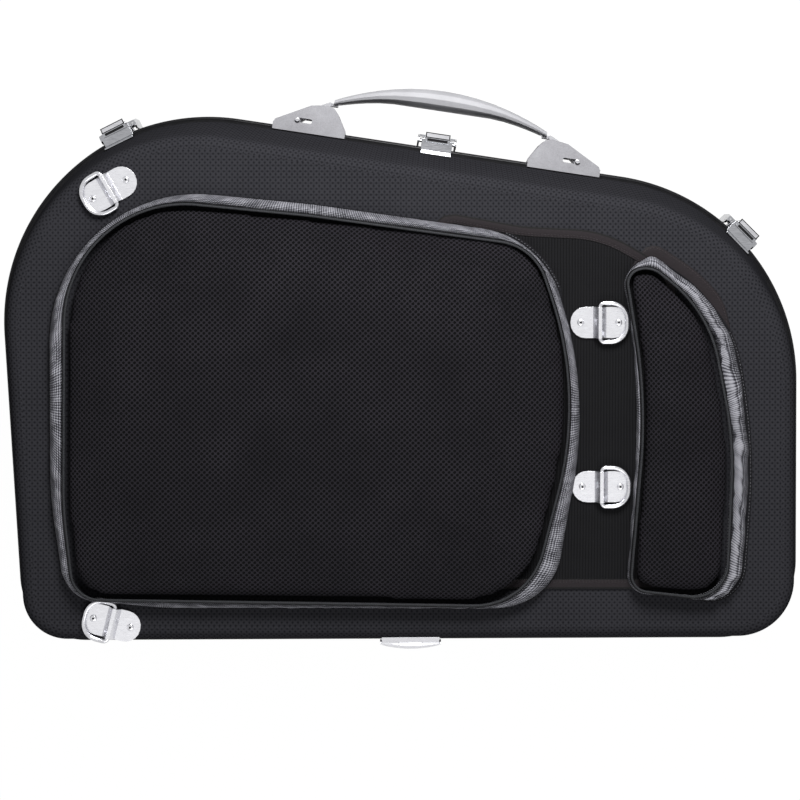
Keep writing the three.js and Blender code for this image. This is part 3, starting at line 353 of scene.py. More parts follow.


# Acetate ribbon, woven: smooth and slightly brown beside the blacks, with painted shade as a dark line along
# its raised edges
def hemMaterial():
    hem = {"middleMm": 5.1, "flatMm": 2.5, "edgeShadeMm": 0.4, "grainMm": 2.2, "relief": (0.1, 0.5),
           "edge": "#0a090a", "dark": "#191517", "light": "#252023"}
    material, tree, shader = newMaterial("acetateRibbonWoven")
    fine = noiseValue(tree, stretched(tree, objectPoint(tree), (1, 6, 1)), hem["grainMm"])
    _, across, _ = weaveMap(tree)
    acrossMm = calc(tree, "MULTIPLY", across, 1000)
    aside = calc(tree, "ABSOLUTE", calc(tree, "SUBTRACT", acrossMm, hem["middleMm"]))
    # Painted shade: a dark line near each raised edge of the ribbon
    edge = between(tree, aside, hem["flatMm"], hem["flatMm"] + hem["edgeShadeMm"])
    feed(tree, shader, {
        "Base Color": blend(tree, edge, twoTones(tree, fine, hem), linear(hem["edge"])),
        "Normal": bump(tree, fine, hem["relief"]), "Roughness": 0.6, "Specular IOR Level": 0.15})
    return material


# Plated metal, nickel on pressed steel or chrome on cast zinc: bright with fine lengthwise scratches
def platedMetalMaterial(name, roughness, grainMm, dark, light):
    plating = {"wearMm": 9, "wear": 0.25, "scratchRough": 0.12, "relief": (0.02, 0.4),
               "range": (0.25, 0.75), "dark": dark, "light": light}
    material, tree, shader = newMaterial(name)
    point = objectPoint(tree)
    lines = noiseValue(tree, stretched(tree, point, (0.12, 1, 1)), grainMm, detail=3, contrast=0.6)
    worn = mixed(tree, noiseValue(tree, point, plating["wearMm"], detail=4), plating["wear"], lines)
    feed(tree, shader, {
        "Base Color": twoTones(tree, worn, plating),
        "Roughness": calc(tree, "MULTIPLY_ADD", lines, plating["scratchRough"], roughness),
        "Normal": bump(tree, lines, plating["relief"]), "Metallic": 1.0})
    return material


# Zinc alloy, die cast and sprayed silver: an even fine metallic grain, with each paint flake a random lighter
# or darker tone that also serves as painted glints of flakes turned to the light
def castSilverMaterial():
    paint = {"flakeMm": 0.5, "paintedGlintShare": 0.3, "patchMm": 14, "peelMm": 1.5, "relief": (0.03, 0.5),
             "roughness": 0.42, "roughRange": 0.12, "range": (0.2, 0.8),
             "dark": "#807f83", "light": "#99999d"}
    material, tree, shader = newMaterial("zincDieCastSilverPaint")
    point = objectPoint(tree)
    paintedGlint, _, _ = splitXyz(tree, cells(tree, point, paint["flakeMm"])["Color"])
    # Painted glints: each flake's own random tone is mixed into the colour
    value = mixed(tree, paintedGlint, paint["paintedGlintShare"], noiseValue(tree, point, paint["patchMm"]))
    feed(tree, shader, {
        "Base Color": twoTones(tree, value, paint),
        "Roughness": calc(tree, "MULTIPLY_ADD", paintedGlint, paint["roughRange"], paint["roughness"]),
        "Normal": bump(tree, noiseValue(tree, point, paint["peelMm"]), paint["relief"]),
        "Metallic": 0.6})
    return material


# Polypropylene, injection moulded, silver grey: soft sheen with a faint spark-eroded grain
def mouldedGripMaterial():
    mould = {"grainMm": 0.8, "relief": (0.05, 0.6), "patchMm": 22, "patch": 0.7,
             "roughness": 0.42, "roughRange": 0.15, "range": (0.25, 0.75),
             "dark": "#a2a2a6", "light": "#b7b7bb"}
    material, tree, shader = newMaterial("polypropyleneMouldedGrey")
    point = objectPoint(tree)
    grain = noiseValue(tree, point, mould["grainMm"], detail=4, contrast=0.6)
    value = mixed(tree, noiseValue(tree, point, mould["patchMm"]), mould["patch"], grain)
    feed(tree, shader, {
        "Base Color": twoTones(tree, value, mould),
        "Roughness": calc(tree, "MULTIPLY_ADD", grain, mould["roughRange"], mould["roughness"]),
        "Normal": bump(tree, grain, mould["relief"]), "IOR": 1.49})
    return material


# Polyester thread, spun and sewn: small twisted loops
def threadMaterial(name, dark, light):
    thread = {"twistMm": 0.5, "relief": (0.05, 0.5), "dark": dark, "light": light}
    material, tree, shader = newMaterial(name)
    twist = noiseValue(tree, objectPoint(tree), thread["twistMm"], detail=2)
    feed(tree, shader, {
        "Base Color": twoTones(tree, twist, thread), "Normal": bump(tree, twist, thread["relief"]),
        "Roughness": 0.7, "Specular IOR Level": 0.2})
    return material


# Nylon binding, woven flat: nearly black with a fine cross grain
def bindingMaterial():
    tape = {"grainMm": 1.1, "relief": (0.15, 0.7), "dark": "#0e0e10", "light": "#222225"}
    material, tree, shader = newMaterial("nylonBindingWoven")
    grain = noiseValue(tree, objectPoint(tree), tape["grainMm"], detail=3, contrast=0.7)
    feed(tree, shader, {
        "Base Color": twoTones(tree, grain, tape), "Normal": bump(tree, grain, tape["relief"]),
        "Roughness": 0.85, "Specular IOR Level": 0.1})
    return material


# Painted shade, near black and matt with a faint dusty noise: for the screws' sockets and the latch's
# openings
def paintedShadeMaterial():
    shadeTones = {"dustMm": 1.5, "dark": "#0a0a0b", "light": "#1a1a1c"}
    material, tree, shader = newMaterial("paintedShadeBlack")
    dust = noiseValue(tree, objectPoint(tree), shadeTones["dustMm"])
    feed(tree, shader, {
        "Base Color": twoTones(tree, dust, shadeTones), "Roughness": 0.8, "Specular IOR Level": 0.2})
    return material


# Sizes of the case, in millimetres from its middle, as the solids' source draws them.
# Corners are shares of the length and the width, with a radius as a share of the width.
sizes = {
    "length": 620, "width": 411, "seam": 95, "face": 190, "wallThickness": 4, "draftDegrees": 10,
    "edgeRadius": 10, "rimOverhang": 3, "rimHeight": 6, "seatGap": 0.3, "arcRoom": 0.96,
    "corners": [(-0.479, -0.502, 0.125), (0.5, -0.4955, 0.147), (0.499, 0.3345, 0.394),
                (-0.521, 0.566, 0.391)],
    "solidArcSteps": 11,
}

# Pads: corner shares of the piping line and of the side band's foot, and how the cloth is blown up
padSizes = {
    "voxelMm": 4.5, "pressure": 4.0, "frames": 20, "quality": 6, "heldBelowMm": 1.5, "capMm": 5.0,
    "shrinkMm": 0.8, "topAboveMm": 1, "pressedBelowMm": 1, "smoothing": 4, "pipingHeight": 11.5,
    "arcStepMm": 3, "gatherMm": 5.0, "gatherFadeMm": 8.0, "fill": 0.8,
    "large": {
        "line": [(-0.3883, -0.3772, 0.0523), (-0.28, -0.3795, 0.3), (0.1509, -0.3896, 0.126),
                 (0.2148, -0.009, 0.6167), (0.1566, 0.2542, 0.098), (-0.1085, 0.3087, 0.5),
                 (-0.3971, 0.3507, 0.2156), (-0.4001, -0.2134, 0.6988)],
        "foot": [(-0.401, -0.3783, 0.07), (-0.28, -0.3962, 0.3), (0.179, -0.394, 0.11),
                 (0.2222, -0.014, 0.6669), (0.1675, 0.2705, 0.175), (-0.1085, 0.329, 0.5),
                 (-0.418, 0.3738, 0.266), (-0.4185, -0.1899, 0.7501)],
    },
    "small": {
        "line": [(0.2696, -0.3596, 0.03), (0.3839, -0.3795, 0.062), (0.3919, -0.095, 0.65),
                 (0.3626, 0.1362, 0.234), (0.295, 0.2178, 0.071), (0.2631, 0.2098, 0.045),
                 (0.2882, -0.0214, 1)],
        "foot": [(0.267, -0.3665, 0.036), (0.4035, -0.384, 0.06), (0.4159, -0.1085, 0.95),
                 (0.388, 0.1475, 0.26), (0.2973, 0.2361, 0.016), (0.2615, 0.2135, 0.045),
                 (0.2824, -0.0238, 1)],
    },
}

finishes = {
    "shell": wovenShellMaterial(),
    "rim": coatedRimMaterial(),
    "seal": spongeSealMaterial(),
    "foam": plushMaterial(),
    "mesh": spacerMeshMaterial(),
    "band": knitBandMaterial(),
    "piping": pipingMaterial(),
    "binding": bindingMaterial(),
    "panel": ribbedClothMaterial(),
    "hem": hemMaterial(),
    "metal": platedMetalMaterial("steelNickelPlatedBrushed", 0.22, 0.5, "#cdcdd1", "#e3e3e7"),
    "bright": platedMetalMaterial("steelNickelPlatedPolished", 0.14, 0.9, "#b4b4b8", "#d8d8dc"),
    "latch": platedMetalMaterial("zincDieCastChromePlated", 0.12, 0.7, "#85868a", "#b0b1b5"),
    "bracket": castSilverMaterial(),
    "grip": mouldedGripMaterial(),
    "paleThread": threadMaterial("polyesterThreadGrey", "#4c4c50", "#7e7e83"),
    "darkThread": threadMaterial("polyesterThreadBlack", "#2b2829", "#454143"),
    "socket": paintedShadeMaterial(),
}
print("materials made")


# Outlines: straight sides with arcs at the corners, each corner a point and a radius

def cornersOf(shares):
    return [(x * sizes["length"], y * sizes["width"], r * sizes["width"]) for x, y, r in shares]


def sidesOf(corners):
    sides = []
    for i, (x, y, _) in enumerate(corners):
        nextX, nextY, _ = corners[(i + 1) % len(corners)]
        along = Vector((nextX - x, nextY - y))
        length = along.length
        along.normalize()
        sides.append((length, along, Vector((along.y, -along.x))))
    return sides


def cross2(a, b):
    return a.x * b.y - a.y * b.x


def insetCorners(corners, inset):
    sides = sidesOf(corners)
    moved = []
    for i, (x, y, r) in enumerate(corners):
        _, before, beforeNormal = sides[i - 1]
        _, after, afterNormal = sides[i]
        bisector = beforeNormal + afterNormal
        move = 2 * inset / bisector.length_squared
        radius = r - inset if cross2(before, after) > 0 else r + inset
        moved.append((x - bisector.x * move, y - bisector.y * move, max(radius, 1)))
    return moved


def outline(corners, steps, inset=0.0):
    moved = insetCorners(corners, inset)
    sides = sidesOf(moved)
    count = len(moved)
    reach = []
    for i, (_, _, r) in enumerate(moved):
        reach.append(r * math.tan(sides[i - 1][1].angle(sides[i][1]) / 2))
    room = [sides[i][0] / (reach[i] + reach[(i + 1) % count]) for i in range(count)]
    points = []
    for i, (x, y, r) in enumerate(moved):
        before, after = sides[i - 1][1], sides[i][1]
        fit = min(1, room[i] * sizes["arcRoom"], room[i - 1] * sizes["arcRoom"])
        start = Vector((x, y)) - before * reach[i] * fit
        turn = math.atan2(cross2(before, after), before.dot(after))
        radius = r * fit * math.copysign(1, turn)
        centre = start - sides[i - 1][2] * radius
        spoke = start - centre
        for step in range(steps[i] + 1):
            angle = turn * step / steps[i]
            points.append(centre + Vector((
                spoke.x * math.cos(angle) - spoke.y * math.sin(angle),
                spoke.x * math.sin(angle) + spoke.y * math.cos(angle))))
    return points


# Arc steps that are fine enough for each corner, the same for every inset of one outline
def arcSteps(corners, stepMm=4.0):
    sides = sidesOf(corners)
    turns = [abs(sides[i - 1][1].angle(sides[i][1])) for i in range(len(corners))]
    return [max(6, int(turn * r / stepMm)) for turn, (_, _, r) in zip(turns, corners)]


# Rings of equal count with points added so that no step along the first is longer than the spacing
def spreadRings(rings, spacing):
    first = rings[0]
    count = len(first)
    spread = [[] for _ in rings]
    for i in range(count):
        j = (i + 1) % count
        steps = max(1, math.ceil((first[j] - first[i]).length / spacing))
        for ring, out in zip(rings, spread):
            for step in range(steps):
                out.append(ring[i].lerp(ring[j], step / steps))
    return spread


def levelRing(corners, steps, inset, z):
    return [Vector((p.x, p.y, z)) for p in outline(corners, steps, inset)]


# Points seen from above
def flat(points):
    return np.array([(p.x, p.y) for p in points])


def smooth(value, low, high):
    share = min(1.0, max(0.0, (value - low) / (high - low)))
    return share * share * (3 - 2 * share)


caseCorners = cornersOf(sizes["corners"])
caseArcs = arcSteps(caseCorners)


# Rings round the case along a section's insets and depths, on one side of the seam
def caseRings(rows, side):
    return [levelRing(caseCorners, caseArcs, inset, sizes["seam"] + side * depth) for inset, depth in rows]


# The middle of the case in the frame: the rim's box against its outline's
def frameOffset():
    low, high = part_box("front_rim")
    ring = outline(caseCorners, [sizes["solidArcSteps"]] * len(caseCorners))
    xs, ys = [p.x for p in ring], [p.y for p in ring]
    middle = Vector(((min(xs) + max(xs)) / 2, (min(ys) + max(ys)) / 2, 0)) * mm
    return Vector(((low.x + high.x) / 2 - middle.x, (low.y + high.y) / 2 - middle.y, 0))


offset = frameOffset()


def toFrame(point):
    return Vector((point[0] * mm, point[1] * mm, point[2] * mm)) + offset


# Nearest point of a closed line for each point
def nearestOn(line, points):
    best = np.full(len(points), 1e9)
    nearest = np.zeros_like(points)
    for a, b in zip(line, np.roll(line, -1, axis=0)):
        along = b - a
        share = np.clip(((points - a) @ along) / max(along @ along, 1e-9), 0, 1)
        place = a + share[:, None] * along
        distance = np.hypot(*(points - place).T)
        closer = distance < best
        best[closer] = distance[closer]
        nearest[closer] = place[closer]
    return nearest, best


# Distance outside a convex outline, negative inside it
def outside(line, points):
    nearest = np.full(len(points), -1e9)
    for a, b in zip(line, np.roll(line, -1, axis=0)):
        along = b - a
        length = math.hypot(*along)
        if length > 1e-6:
            normal = np.array((along[1], -along[0])) / length
            nearest = np.maximum(nearest, (points - a) @ normal)
    return nearest


# Mesh helpers

# A mesh's points in millimetres from the middle of the case
def caseMm(mesh):
    return (np.array([v.co for v in mesh.vertices]) - np.array(offset)) / mm


def pointValues(mesh, name, values, kind="FLOAT", field="value"):
    mesh.attributes.new(name, kind, "POINT").data.foreach_set(field, values)


def linked(name, mesh):
    piece = bpy.data.objects.new(name, mesh)
    bpy.context.scene.collection.objects.link(piece)
    return piece


# A finished piece on its body; with 180 degrees the mesh keeps the normals that it has
def settle(name, body, material, mesh, smoothDegrees=40):
    piece = linked(name, mesh)
    if material is not None:
        mesh.materials.clear()
        mesh.materials.append(material)
    mesh.shade_smooth()
    if smoothDegrees < 180:
        mesh.set_sharp_from_angle(angle=math.radians(smoothDegrees))
    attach(piece, body)
    return piece


def meshFrom(name, points, faces, edges=()):
    mesh = bpy.data.meshes.new(name)
    mesh.from_pydata([toFrame(p) for p in points], list(edges), faces)
    mesh.validate()
    return mesh


def outward(mesh):
    work = bmesh.new()
    work.from_mesh(mesh)
    bmesh.ops.recalc_face_normals(work, faces=work.faces)
    work.to_mesh(mesh)
    work.free()


# A tall span is moulded with the weave drawn out, so that it counts for a share of its height
weaveSizes = {"tallMm": 20, "drawnShare": 0.4}


# Metres along the rings and up from ring to ring, as the cloth or the weave runs
def mapWeave(mesh, rings, spans):
    count = len(rings[0])
    reach, climb = [0.0], [0.0]
    for i in range(count):
        reach.append(reach[-1] + (rings[0][(i + 1) % count] - rings[0][i]).length * mm)
    for ring in range(len(rings)):
        rise = (rings[(ring + 1) % len(rings)][0] - rings[ring][0]).length
        share = weaveSizes["drawnShare"] if rise > weaveSizes["tallMm"] else 1
        climb.append(climb[-1] + rise * mm * share)
    layer = mesh.uv_layers.new(name="weave")
    for polygon in mesh.polygons:
        if polygon.index < spans * count:
            ring, i = divmod(polygon.index, count)
            corners = [(reach[i], climb[ring]), (reach[i + 1], climb[ring]),
                       (reach[i + 1], climb[ring + 1]), (reach[i], climb[ring + 1])]
            for loop, corner in zip(polygon.loop_indices, corners):
                layer.data[loop].uv = corner
        else:
            for loop in polygon.loop_indices:
                place = mesh.vertices[mesh.loops[loop].vertex_index].co
                layer.data[loop].uv = (place.x, place.y)


# A closed skin through rings of points; its ends are capped, or joined to each other for a hoop
def loftMesh(name, rings, hoop=False):
    count = len(rings[0])
    spans = len(rings) if hoop else len(rings) - 1
    faces = []
    for ring in range(spans):
        a, b = ring * count, ((ring + 1) % len(rings)) * count
        for i in range(count):
            j = (i + 1) % count
            faces.append((a + i, a + j, b + j, b + i))
    if not hoop:
        faces.append(tuple(reversed(range(count))))
        faces.append(tuple(range((len(rings) - 1) * count, len(rings) * count)))
    mesh = meshFrom(name, [p for ring in rings for p in ring], faces)
    mapWeave(mesh, rings, spans)
    outward(mesh)
    return mesh


# Rings of points in metres skinned and capped, with the index of a finish for each span
def ringMesh(name, rings, indices):
    work = bmesh.new()
    loops = [[work.verts.new(point) for point in ring] for ring in rings]
    count = len(rings[0])
    for a, b, index in zip(loops, loops[1:], indices):
        for i in range(count):
            j = (i + 1) % count
            work.faces.new((a[i], a[j], b[j], b[i])).material_index = index
    work.faces.new(loops[-1]).material_index = indices[-1]
    work.faces.new(loops[0])
    mesh = bpy.data.meshes.new(name)
    work.to_mesh(mesh)
    work.free()
    outward(mesh)
    return mesh


def evaluated(piece):
    bpy.context.view_layer.update()
    source = piece.evaluated_get(bpy.context.evaluated_depsgraph_get())
    return bpy.data.meshes.new_from_object(source)


# A mesh with modifiers run on it, given as (type, settings) pairs
def modified(mesh, *stack):
    holder = linked("holder", mesh)
    for kind, settings in stack:
        modifier = holder.modifiers.new(kind.lower(), kind)
        for key, value in settings.items():
            setattr(modifier, key, value)
    result = evaluated(holder)
    bpy.data.objects.remove(holder)
    return result


# What counts as one point, as one flat face and as an edge to round
edgeSizes = {"mergeM": 2e-6, "flatDegrees": 0.8, "edgeDegrees": 30}


# A solid's own mesh, its triangles merged and its flat faces made whole
def mergedCopy(node):
    mesh = nodes[node].data.copy()
    mesh.name = node
    work = bmesh.new()
    work.from_mesh(mesh)
    bmesh.ops.remove_doubles(work, verts=work.verts, dist=edgeSizes["mergeM"])
    bmesh.ops.dissolve_limit(work, angle_limit=math.radians(edgeSizes["flatDegrees"]),
                             verts=work.verts, edges=work.edges)
    work.to_mesh(mesh)
    work.free()
    return mesh


# A machined or moulded solid: the node's own shape with its edges rounded
def finishNode(node, material, roundMm, segments):
    mesh = mergedCopy(node)
    mesh.materials.clear()
    mesh.materials.append(finishes[material])
    mesh.shade_smooth()
    rounding = {"width": roundMm * mm, "segments": segments, "limit_method": "ANGLE",
                "angle_limit": math.radians(edgeSizes["edgeDegrees"]), "use_clamp_overlap": True}
    shading = {"mode": "FACE_AREA", "weight": 50, "keep_sharp": False}
    mesh = modified(mesh, ("BEVEL", rounding), ("WEIGHTED_NORMAL", shading))
    piece = settle(node + "_finished", bodyOf[node], finishes[material], mesh, 180)
    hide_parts(node)


# Node tree helpers: sockets by name, and a run of the tree that leaves a plain mesh

def socketOf(tree, name, kind, value=None, direction="INPUT"):
    socket = tree.interface.new_socket(name=name, in_out=direction, socket_type="NodeSocket" + kind)
    if value is not None:
        socket.default_value = value


def newTree(name, **inputs):
    tree = bpy.data.node_groups.new(name, "GeometryNodeTree")
    socketOf(tree, "Geometry", "Geometry")
    for key, (kind, value) in inputs.items():
        socketOf(tree, key, kind, value)
    socketOf(tree, "Geometry", "Geometry", direction="OUTPUT")
    return tree, addNode(tree, "NodeGroupInput").outputs


def endTree(tree, geometry, material=None):
    real = addNode(tree, "GeometryNodeRealizeInstances", {"Geometry": geometry}).outputs["Geometry"]
    if material is not None:
        finished = addNode(tree, "GeometryNodeSetMaterial", {"Geometry": real, "Material": material})
        real = finished.outputs["Geometry"]
    addNode(tree, "NodeGroupOutput", {"Geometry": real})


def namedValue(tree, name):
    node = addNode(tree, "GeometryNodeInputNamedAttribute", {"Name": name}, data_type="FLOAT")
    return node.outputs["Attribute"]


def runTree(mesh, tree, values):
    holder = linked("path", mesh)
    modifier = holder.modifiers.new("nodes", "NODES")
    modifier.node_group = tree
    for item in tree.interface.items_tree:
        if item.item_type == "SOCKET" and item.in_out == "INPUT" and item.name in values:
            modifier[item.identifier] = values[item.name]
    result = evaluated(holder)
    bpy.data.objects.remove(holder)
    return result


# Shells: drafted wall, rounded edge and flat face with the weave running over all

shellSizes = {"edgeSteps": 8, "innerSteps": 4, "faceMarginMm": 0.6, "spacingMm": 12, "smoothDegrees": 50}


def skinRows(skin, edgeSteps):
    slant = math.radians(sizes["draftDegrees"])
    slope = math.tan(slant)
    first = sizes["rimHeight"] + sizes["seatGap"]
    radius = sizes["edgeRadius"]
    middleDepth = sizes["seam"] - radius
    tangent = middleDepth + radius * math.sin(slant)
    middleInset = sizes["rimOverhang"] + slope * tangent + radius * math.cos(slant)
    rows = [(sizes["rimOverhang"] + skin / math.cos(slant) + slope * first, first)]
    for step in range(edgeSteps + 1):
        angle = slant + (math.pi / 2 - slant) * step / edgeSteps
        inwards, up = (radius - skin) * math.cos(angle), (radius - skin) * math.sin(angle)
        rows.append((middleInset - inwards, middleDepth + up))
    rows.append((rows[-1][0] + shellSizes["faceMarginMm"], rows[-1][1]))
    return rows


def makeShell(node, side):
    rows = list(reversed(skinRows(0, shellSizes["edgeSteps"])))
    rows += skinRows(sizes["wallThickness"], shellSizes["innerSteps"])
    mesh = loftMesh(node + "_woven", spreadRings(caseRings(rows, side), shellSizes["spacingMm"]))
    piece = settle(node + "_woven", bodyOf[node], finishes["shell"], mesh, shellSizes["smoothDegrees"])
    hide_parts(node)


makeShell("back_shell", 1)
makeShell("front_shell", -1)
print("shells made")


# Rims and seal: one section carried round the case, with a rounded shoulder and a line beside the wall.
# Tongue: inset, width and height. Gasket: inset and width. Line: inset, width and depth.

rimSizes = {
    "seamHalfGap": 0.6, "ridge": 0.9, "groove": 0.6, "chamfer": 0.5, "chamferBend": (0.2, 0.3),
    "tongue": (4.4, 1.6, 1.8), "gasket": (0.3, 2.8), "line": (2.2, 0.4, 0.35), "shoulder": 1.8,
    "shoulderSteps": 5, "smoothDegrees": 35,
    "hingeRoom": {"radius": 5.7, "taper": 2.8, "gap": 0.6, "sides": 24, "steps": 12},
}


def rimRows(half):
    seam, top = rimSizes["seamHalfGap"], sizes["rimHeight"]
    ridge, chamfer = rimSizes["ridge"], rimSizes["chamfer"]
    middle = (seam + top) / 2
    low, high = middle - rimSizes["groove"] / 2, middle + rimSizes["groove"] / 2
    gap = sizes["seatGap"] if half > 0 else 0
    inset, width, tall = rimSizes["tongue"]
    rise = -tall - sizes["seatGap"] if half > 0 else tall
    near, far = inset - gap, inset + width + gap
    bendIn, bendUp = rimSizes["chamferBend"]
    rows = [(chamfer, seam), (chamfer * bendIn, seam + chamfer * bendUp), (0, seam + chamfer),
            (0, low - ridge / 2), (ridge, low), (ridge, high), (0, high + ridge / 2)]
    shoulder, steps = rimSizes["shoulder"], rimSizes["shoulderSteps"]
    for step in range(steps + 1):
        angle = math.pi / 2 * step / steps
        rows.append((shoulder * (1 - math.cos(angle)), top - shoulder * (1 - math.sin(angle))))
    lineInset, lineWidth, lineDepth = rimSizes["line"]
    lineEnd = lineInset + lineWidth
    rows += [(lineInset, top), (lineInset + lineDepth / 2, top - lineDepth), (lineEnd, top - lineDepth),
             (lineEnd + lineDepth / 2, top)]
    inner = sizes["rimOverhang"] + sizes["wallThickness"]
    return rows + [(inner, top), (inner, seam), (far, seam), (far, seam - rise), (near, seam - rise),
                   (near, seam)]


# Room for the hinge's barrel, which lies across the rims
def hingeRoom():
    low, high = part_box("hinge_pin")
    room = rimSizes["hingeRoom"]
    middle, half = (low + high) / 2, (high.x - low.x) / 2 + room["gap"] * mm
    rings = []
    for step in range(room["steps"] + 1):
        share = 2 * step / room["steps"] - 1
        radius = (room["radius"] - room["taper"] * share * share) * mm
        angles = [2 * math.pi * side / room["sides"] for side in range(room["sides"])]
        rings.append([(middle.x + share * half, middle.y + radius * math.cos(angle),
                       middle.z + radius * math.sin(angle)) for angle in angles])
    return linked("hingeRoom", ringMesh("hingeRoom", rings, [0] * room["steps"]))


def makeHoop(node, rows, side, material, cutter):
    mesh = loftMesh(node + "_fine", caseRings(rows, side), hoop=True)
    mesh = modified(mesh, ("BOOLEAN", {"object": cutter, "operation": "DIFFERENCE", "solver": "EXACT"}))
    piece = settle(node + "_fine", bodyOf[node], finishes[material], mesh, rimSizes["smoothDegrees"])
    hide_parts(node)


def makeRims():
    cutter = hingeRoom()
    makeHoop("back_rim", rimRows(1), 1, "rim", cutter)
    makeHoop("front_rim", rimRows(-1), -1, "rim", cutter)
    half = rimSizes["seamHalfGap"] - sizes["seatGap"]
    inset, width = rimSizes["gasket"]
    section = [(inset, -half), (inset, half), (inset + width, half), (inset + width, -half)]
    makeHoop("rim_gasket", section, 1, "seal", cutter)
    bpy.data.objects.remove(cutter)


makeRims()
print("rims made")


# Foam trays: the wells' edges softened, then covered in plush

linerSizes = {"voxelMm": 3.4, "smoothing": 6, "fill": 0.9}


def makeLiner(node):
    mesh = modified(mergedCopy(node), ("REMESH", {"mode": "VOXEL", "voxel_size": linerSizes["voxelMm"] * mm}),
                    ("SMOOTH", {"factor": 0.5, "iterations": linerSizes["smoothing"]}))
    piece = settle(node + "_plush", bodyOf[node], finishes["foam"], mesh, 180)
    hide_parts(node)


makeLiner("front_liner")
makeLiner("back_liner")
print("liners made")


# Hard pieces keep the solids' shapes, with rounded edges: start of the name, finish, radius in mm, segments

hardware = [
    ("latch_", "latch", 0.6, 3), ("strike_", "latch", 0.4, 2), ("hinge_", "metal", 0.25, 2),
    ("handle_bracket", "bracket", 0.7, 3), ("handle_link", "grip", 0.5, 2), ("handle_pin", "bright", 0.2, 2),
    ("bracket_screw", "bright", 0.15, 2), ("ring_plate", "metal", 0.4, 3), ("handle_grip", "grip", 0.8, 3),
]

for node in sorted(nodes):
    for start, material, roundMm, segments in hardware:
        if node.startswith(start):
            finishNode(node, material, roundMm, segments)
print("hardware made")


# Latch faces: thin inlays on the hooks, measured along the rim and outwards from the hook's inner edge.
# Each is a name, a finish, half its length, where it starts and ends, and how far it stands out.
# The frame and the window are painted shade: near black sheets for the opening round the bright bar and for
# the window
latchInlays = {
    "parts": [("frame", "socket", 9.6, 3.4, 7.6, 0.08), ("bar", "bright", 8.8, 4.1, 6.9, 0.16),
              ("window", "socket", 8.0, 0.9, 2.9, 0.1)],
    "sink": 0.3, "faceDepth": 0.2,
}


def makeLatchInlays(name):
    node = "latch_hook_" + name
    points = caseMm(nodes[node].data)
    top = points[:, 2].max()
    face = points[points[:, 2] > top - latchInlays["faceDepth"]][:, :2]
    line = np.array(outline(caseCorners, caseArcs))
    nearest, _ = nearestOn(line, face.mean(axis=0)[None, :])
    ahead = np.roll(line, -1, axis=0) - line
    along = ahead[np.hypot(*(line - nearest[0]).T).argmin()]
    along = along / math.hypot(*along)
    outwards = np.array((along[1], -along[0]))
    inner = (face @ outwards).min()
    middle = ((face @ along).min() + (face @ along).max()) / 2
    for part, material, half, start, end, proud in latchInlays["parts"]:
        corners = [(-half, start), (half, start), (half, end), (-half, end)]
        rings = [[Vector((*(along * (middle + x) + outwards * (inner + y)), z)) for x, y in corners]
                 for z in (top - latchInlays["sink"], top + proud)]
        mesh = loftMesh(part + "_" + node, rings)
        piece = settle(part + "_" + node, bodyOf[node], finishes[material], mesh)


for name in ("left", "middle", "right"):
    makeLatchInlays(name)
print("latch faces made")


# D-rings: bent wire with a straight bar in the saddle

ringSizes = {
    "wire": 1.6, "halfHeight": 14.4, "reach": 20.2, "corner": 3.2, "nose": 12.2, "sides": 16,
    "steps": [8, 16, 16, 8], "plate": (43, 23, 11.4),
    "places": {"upper_left": (-0.3463, 0.3555, 210), "upper_middle": (0.2346, 0.1174, 0),
               "lower_middle": (0.2370, -0.1771, 0), "lower_left": (-0.3453, -0.4228, 166)},
}


def ringCorners():
    half, reach = ringSizes["halfHeight"], ringSizes["reach"]
    return [(0, -half, ringSizes["corner"]), (reach, -half, ringSizes["nose"]),
            (reach, half, ringSizes["nose"]), (0, half, ringSizes["corner"])]


def ringFrame(name):
    x, y, heading = ringSizes["places"][name]
    turn = Matrix.Rotation(math.radians(heading), 3, "Z")
    return turn, Vector((x * sizes["length"], y * sizes["width"], 0))


def makeRing(name):
    node = "d_ring_" + name
    low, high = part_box(node)
    turn, place = ringFrame(name)
    place.z = (low.z + high.z) / 2 / mm
    rings = []
    for side in range(ringSizes["sides"]):
        angle = 2 * math.pi * side / ringSizes["sides"]
        inset, lift = ringSizes["wire"] * math.cos(angle), ringSizes["wire"] * math.sin(angle)
        rings.append([turn @ Vector((p.x, p.y, lift)) + place
                      for p in outline(ringCorners(), ringSizes["steps"], inset)])
    mesh = loftMesh(node + "_wire", rings, hoop=True)
    piece = settle(node + "_wire", bodyOf[node], finishes["bright"], mesh, 180)
    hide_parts(node)


for name in ringSizes["places"]:
    makeRing(name)
print("rings made")


# Space on the back that the plates and rings take: outlines seen from above, with their top heights.
# The tight ring lies close to a band, so it also has the space that it takes when it has swung over.
clearSizes = {
    "aroundPlate": 0.6, "aroundRing": 2.4, "overRing": 0.8, "tight": "lower_left", "swungShare": 0.78,
    "aroundSwung": 2.2, "swungTop": 206, "deepestPress": 7, "pressFade": 1.5, "tentSlope": 1.4,
    "tentReach": 4,
}


# A room is an outline, its top's height, and whether cloth is pressed in beside it
def roomAround(name, corners, grow, top, pressed):
    turn, place = ringFrame(name)
    line = [turn @ Vector((p.x, p.y, 0)) + place for p in outline(corners, ringSizes["steps"], -grow)]
    return {"line": flat(line), "top": top, "pressed": pressed}


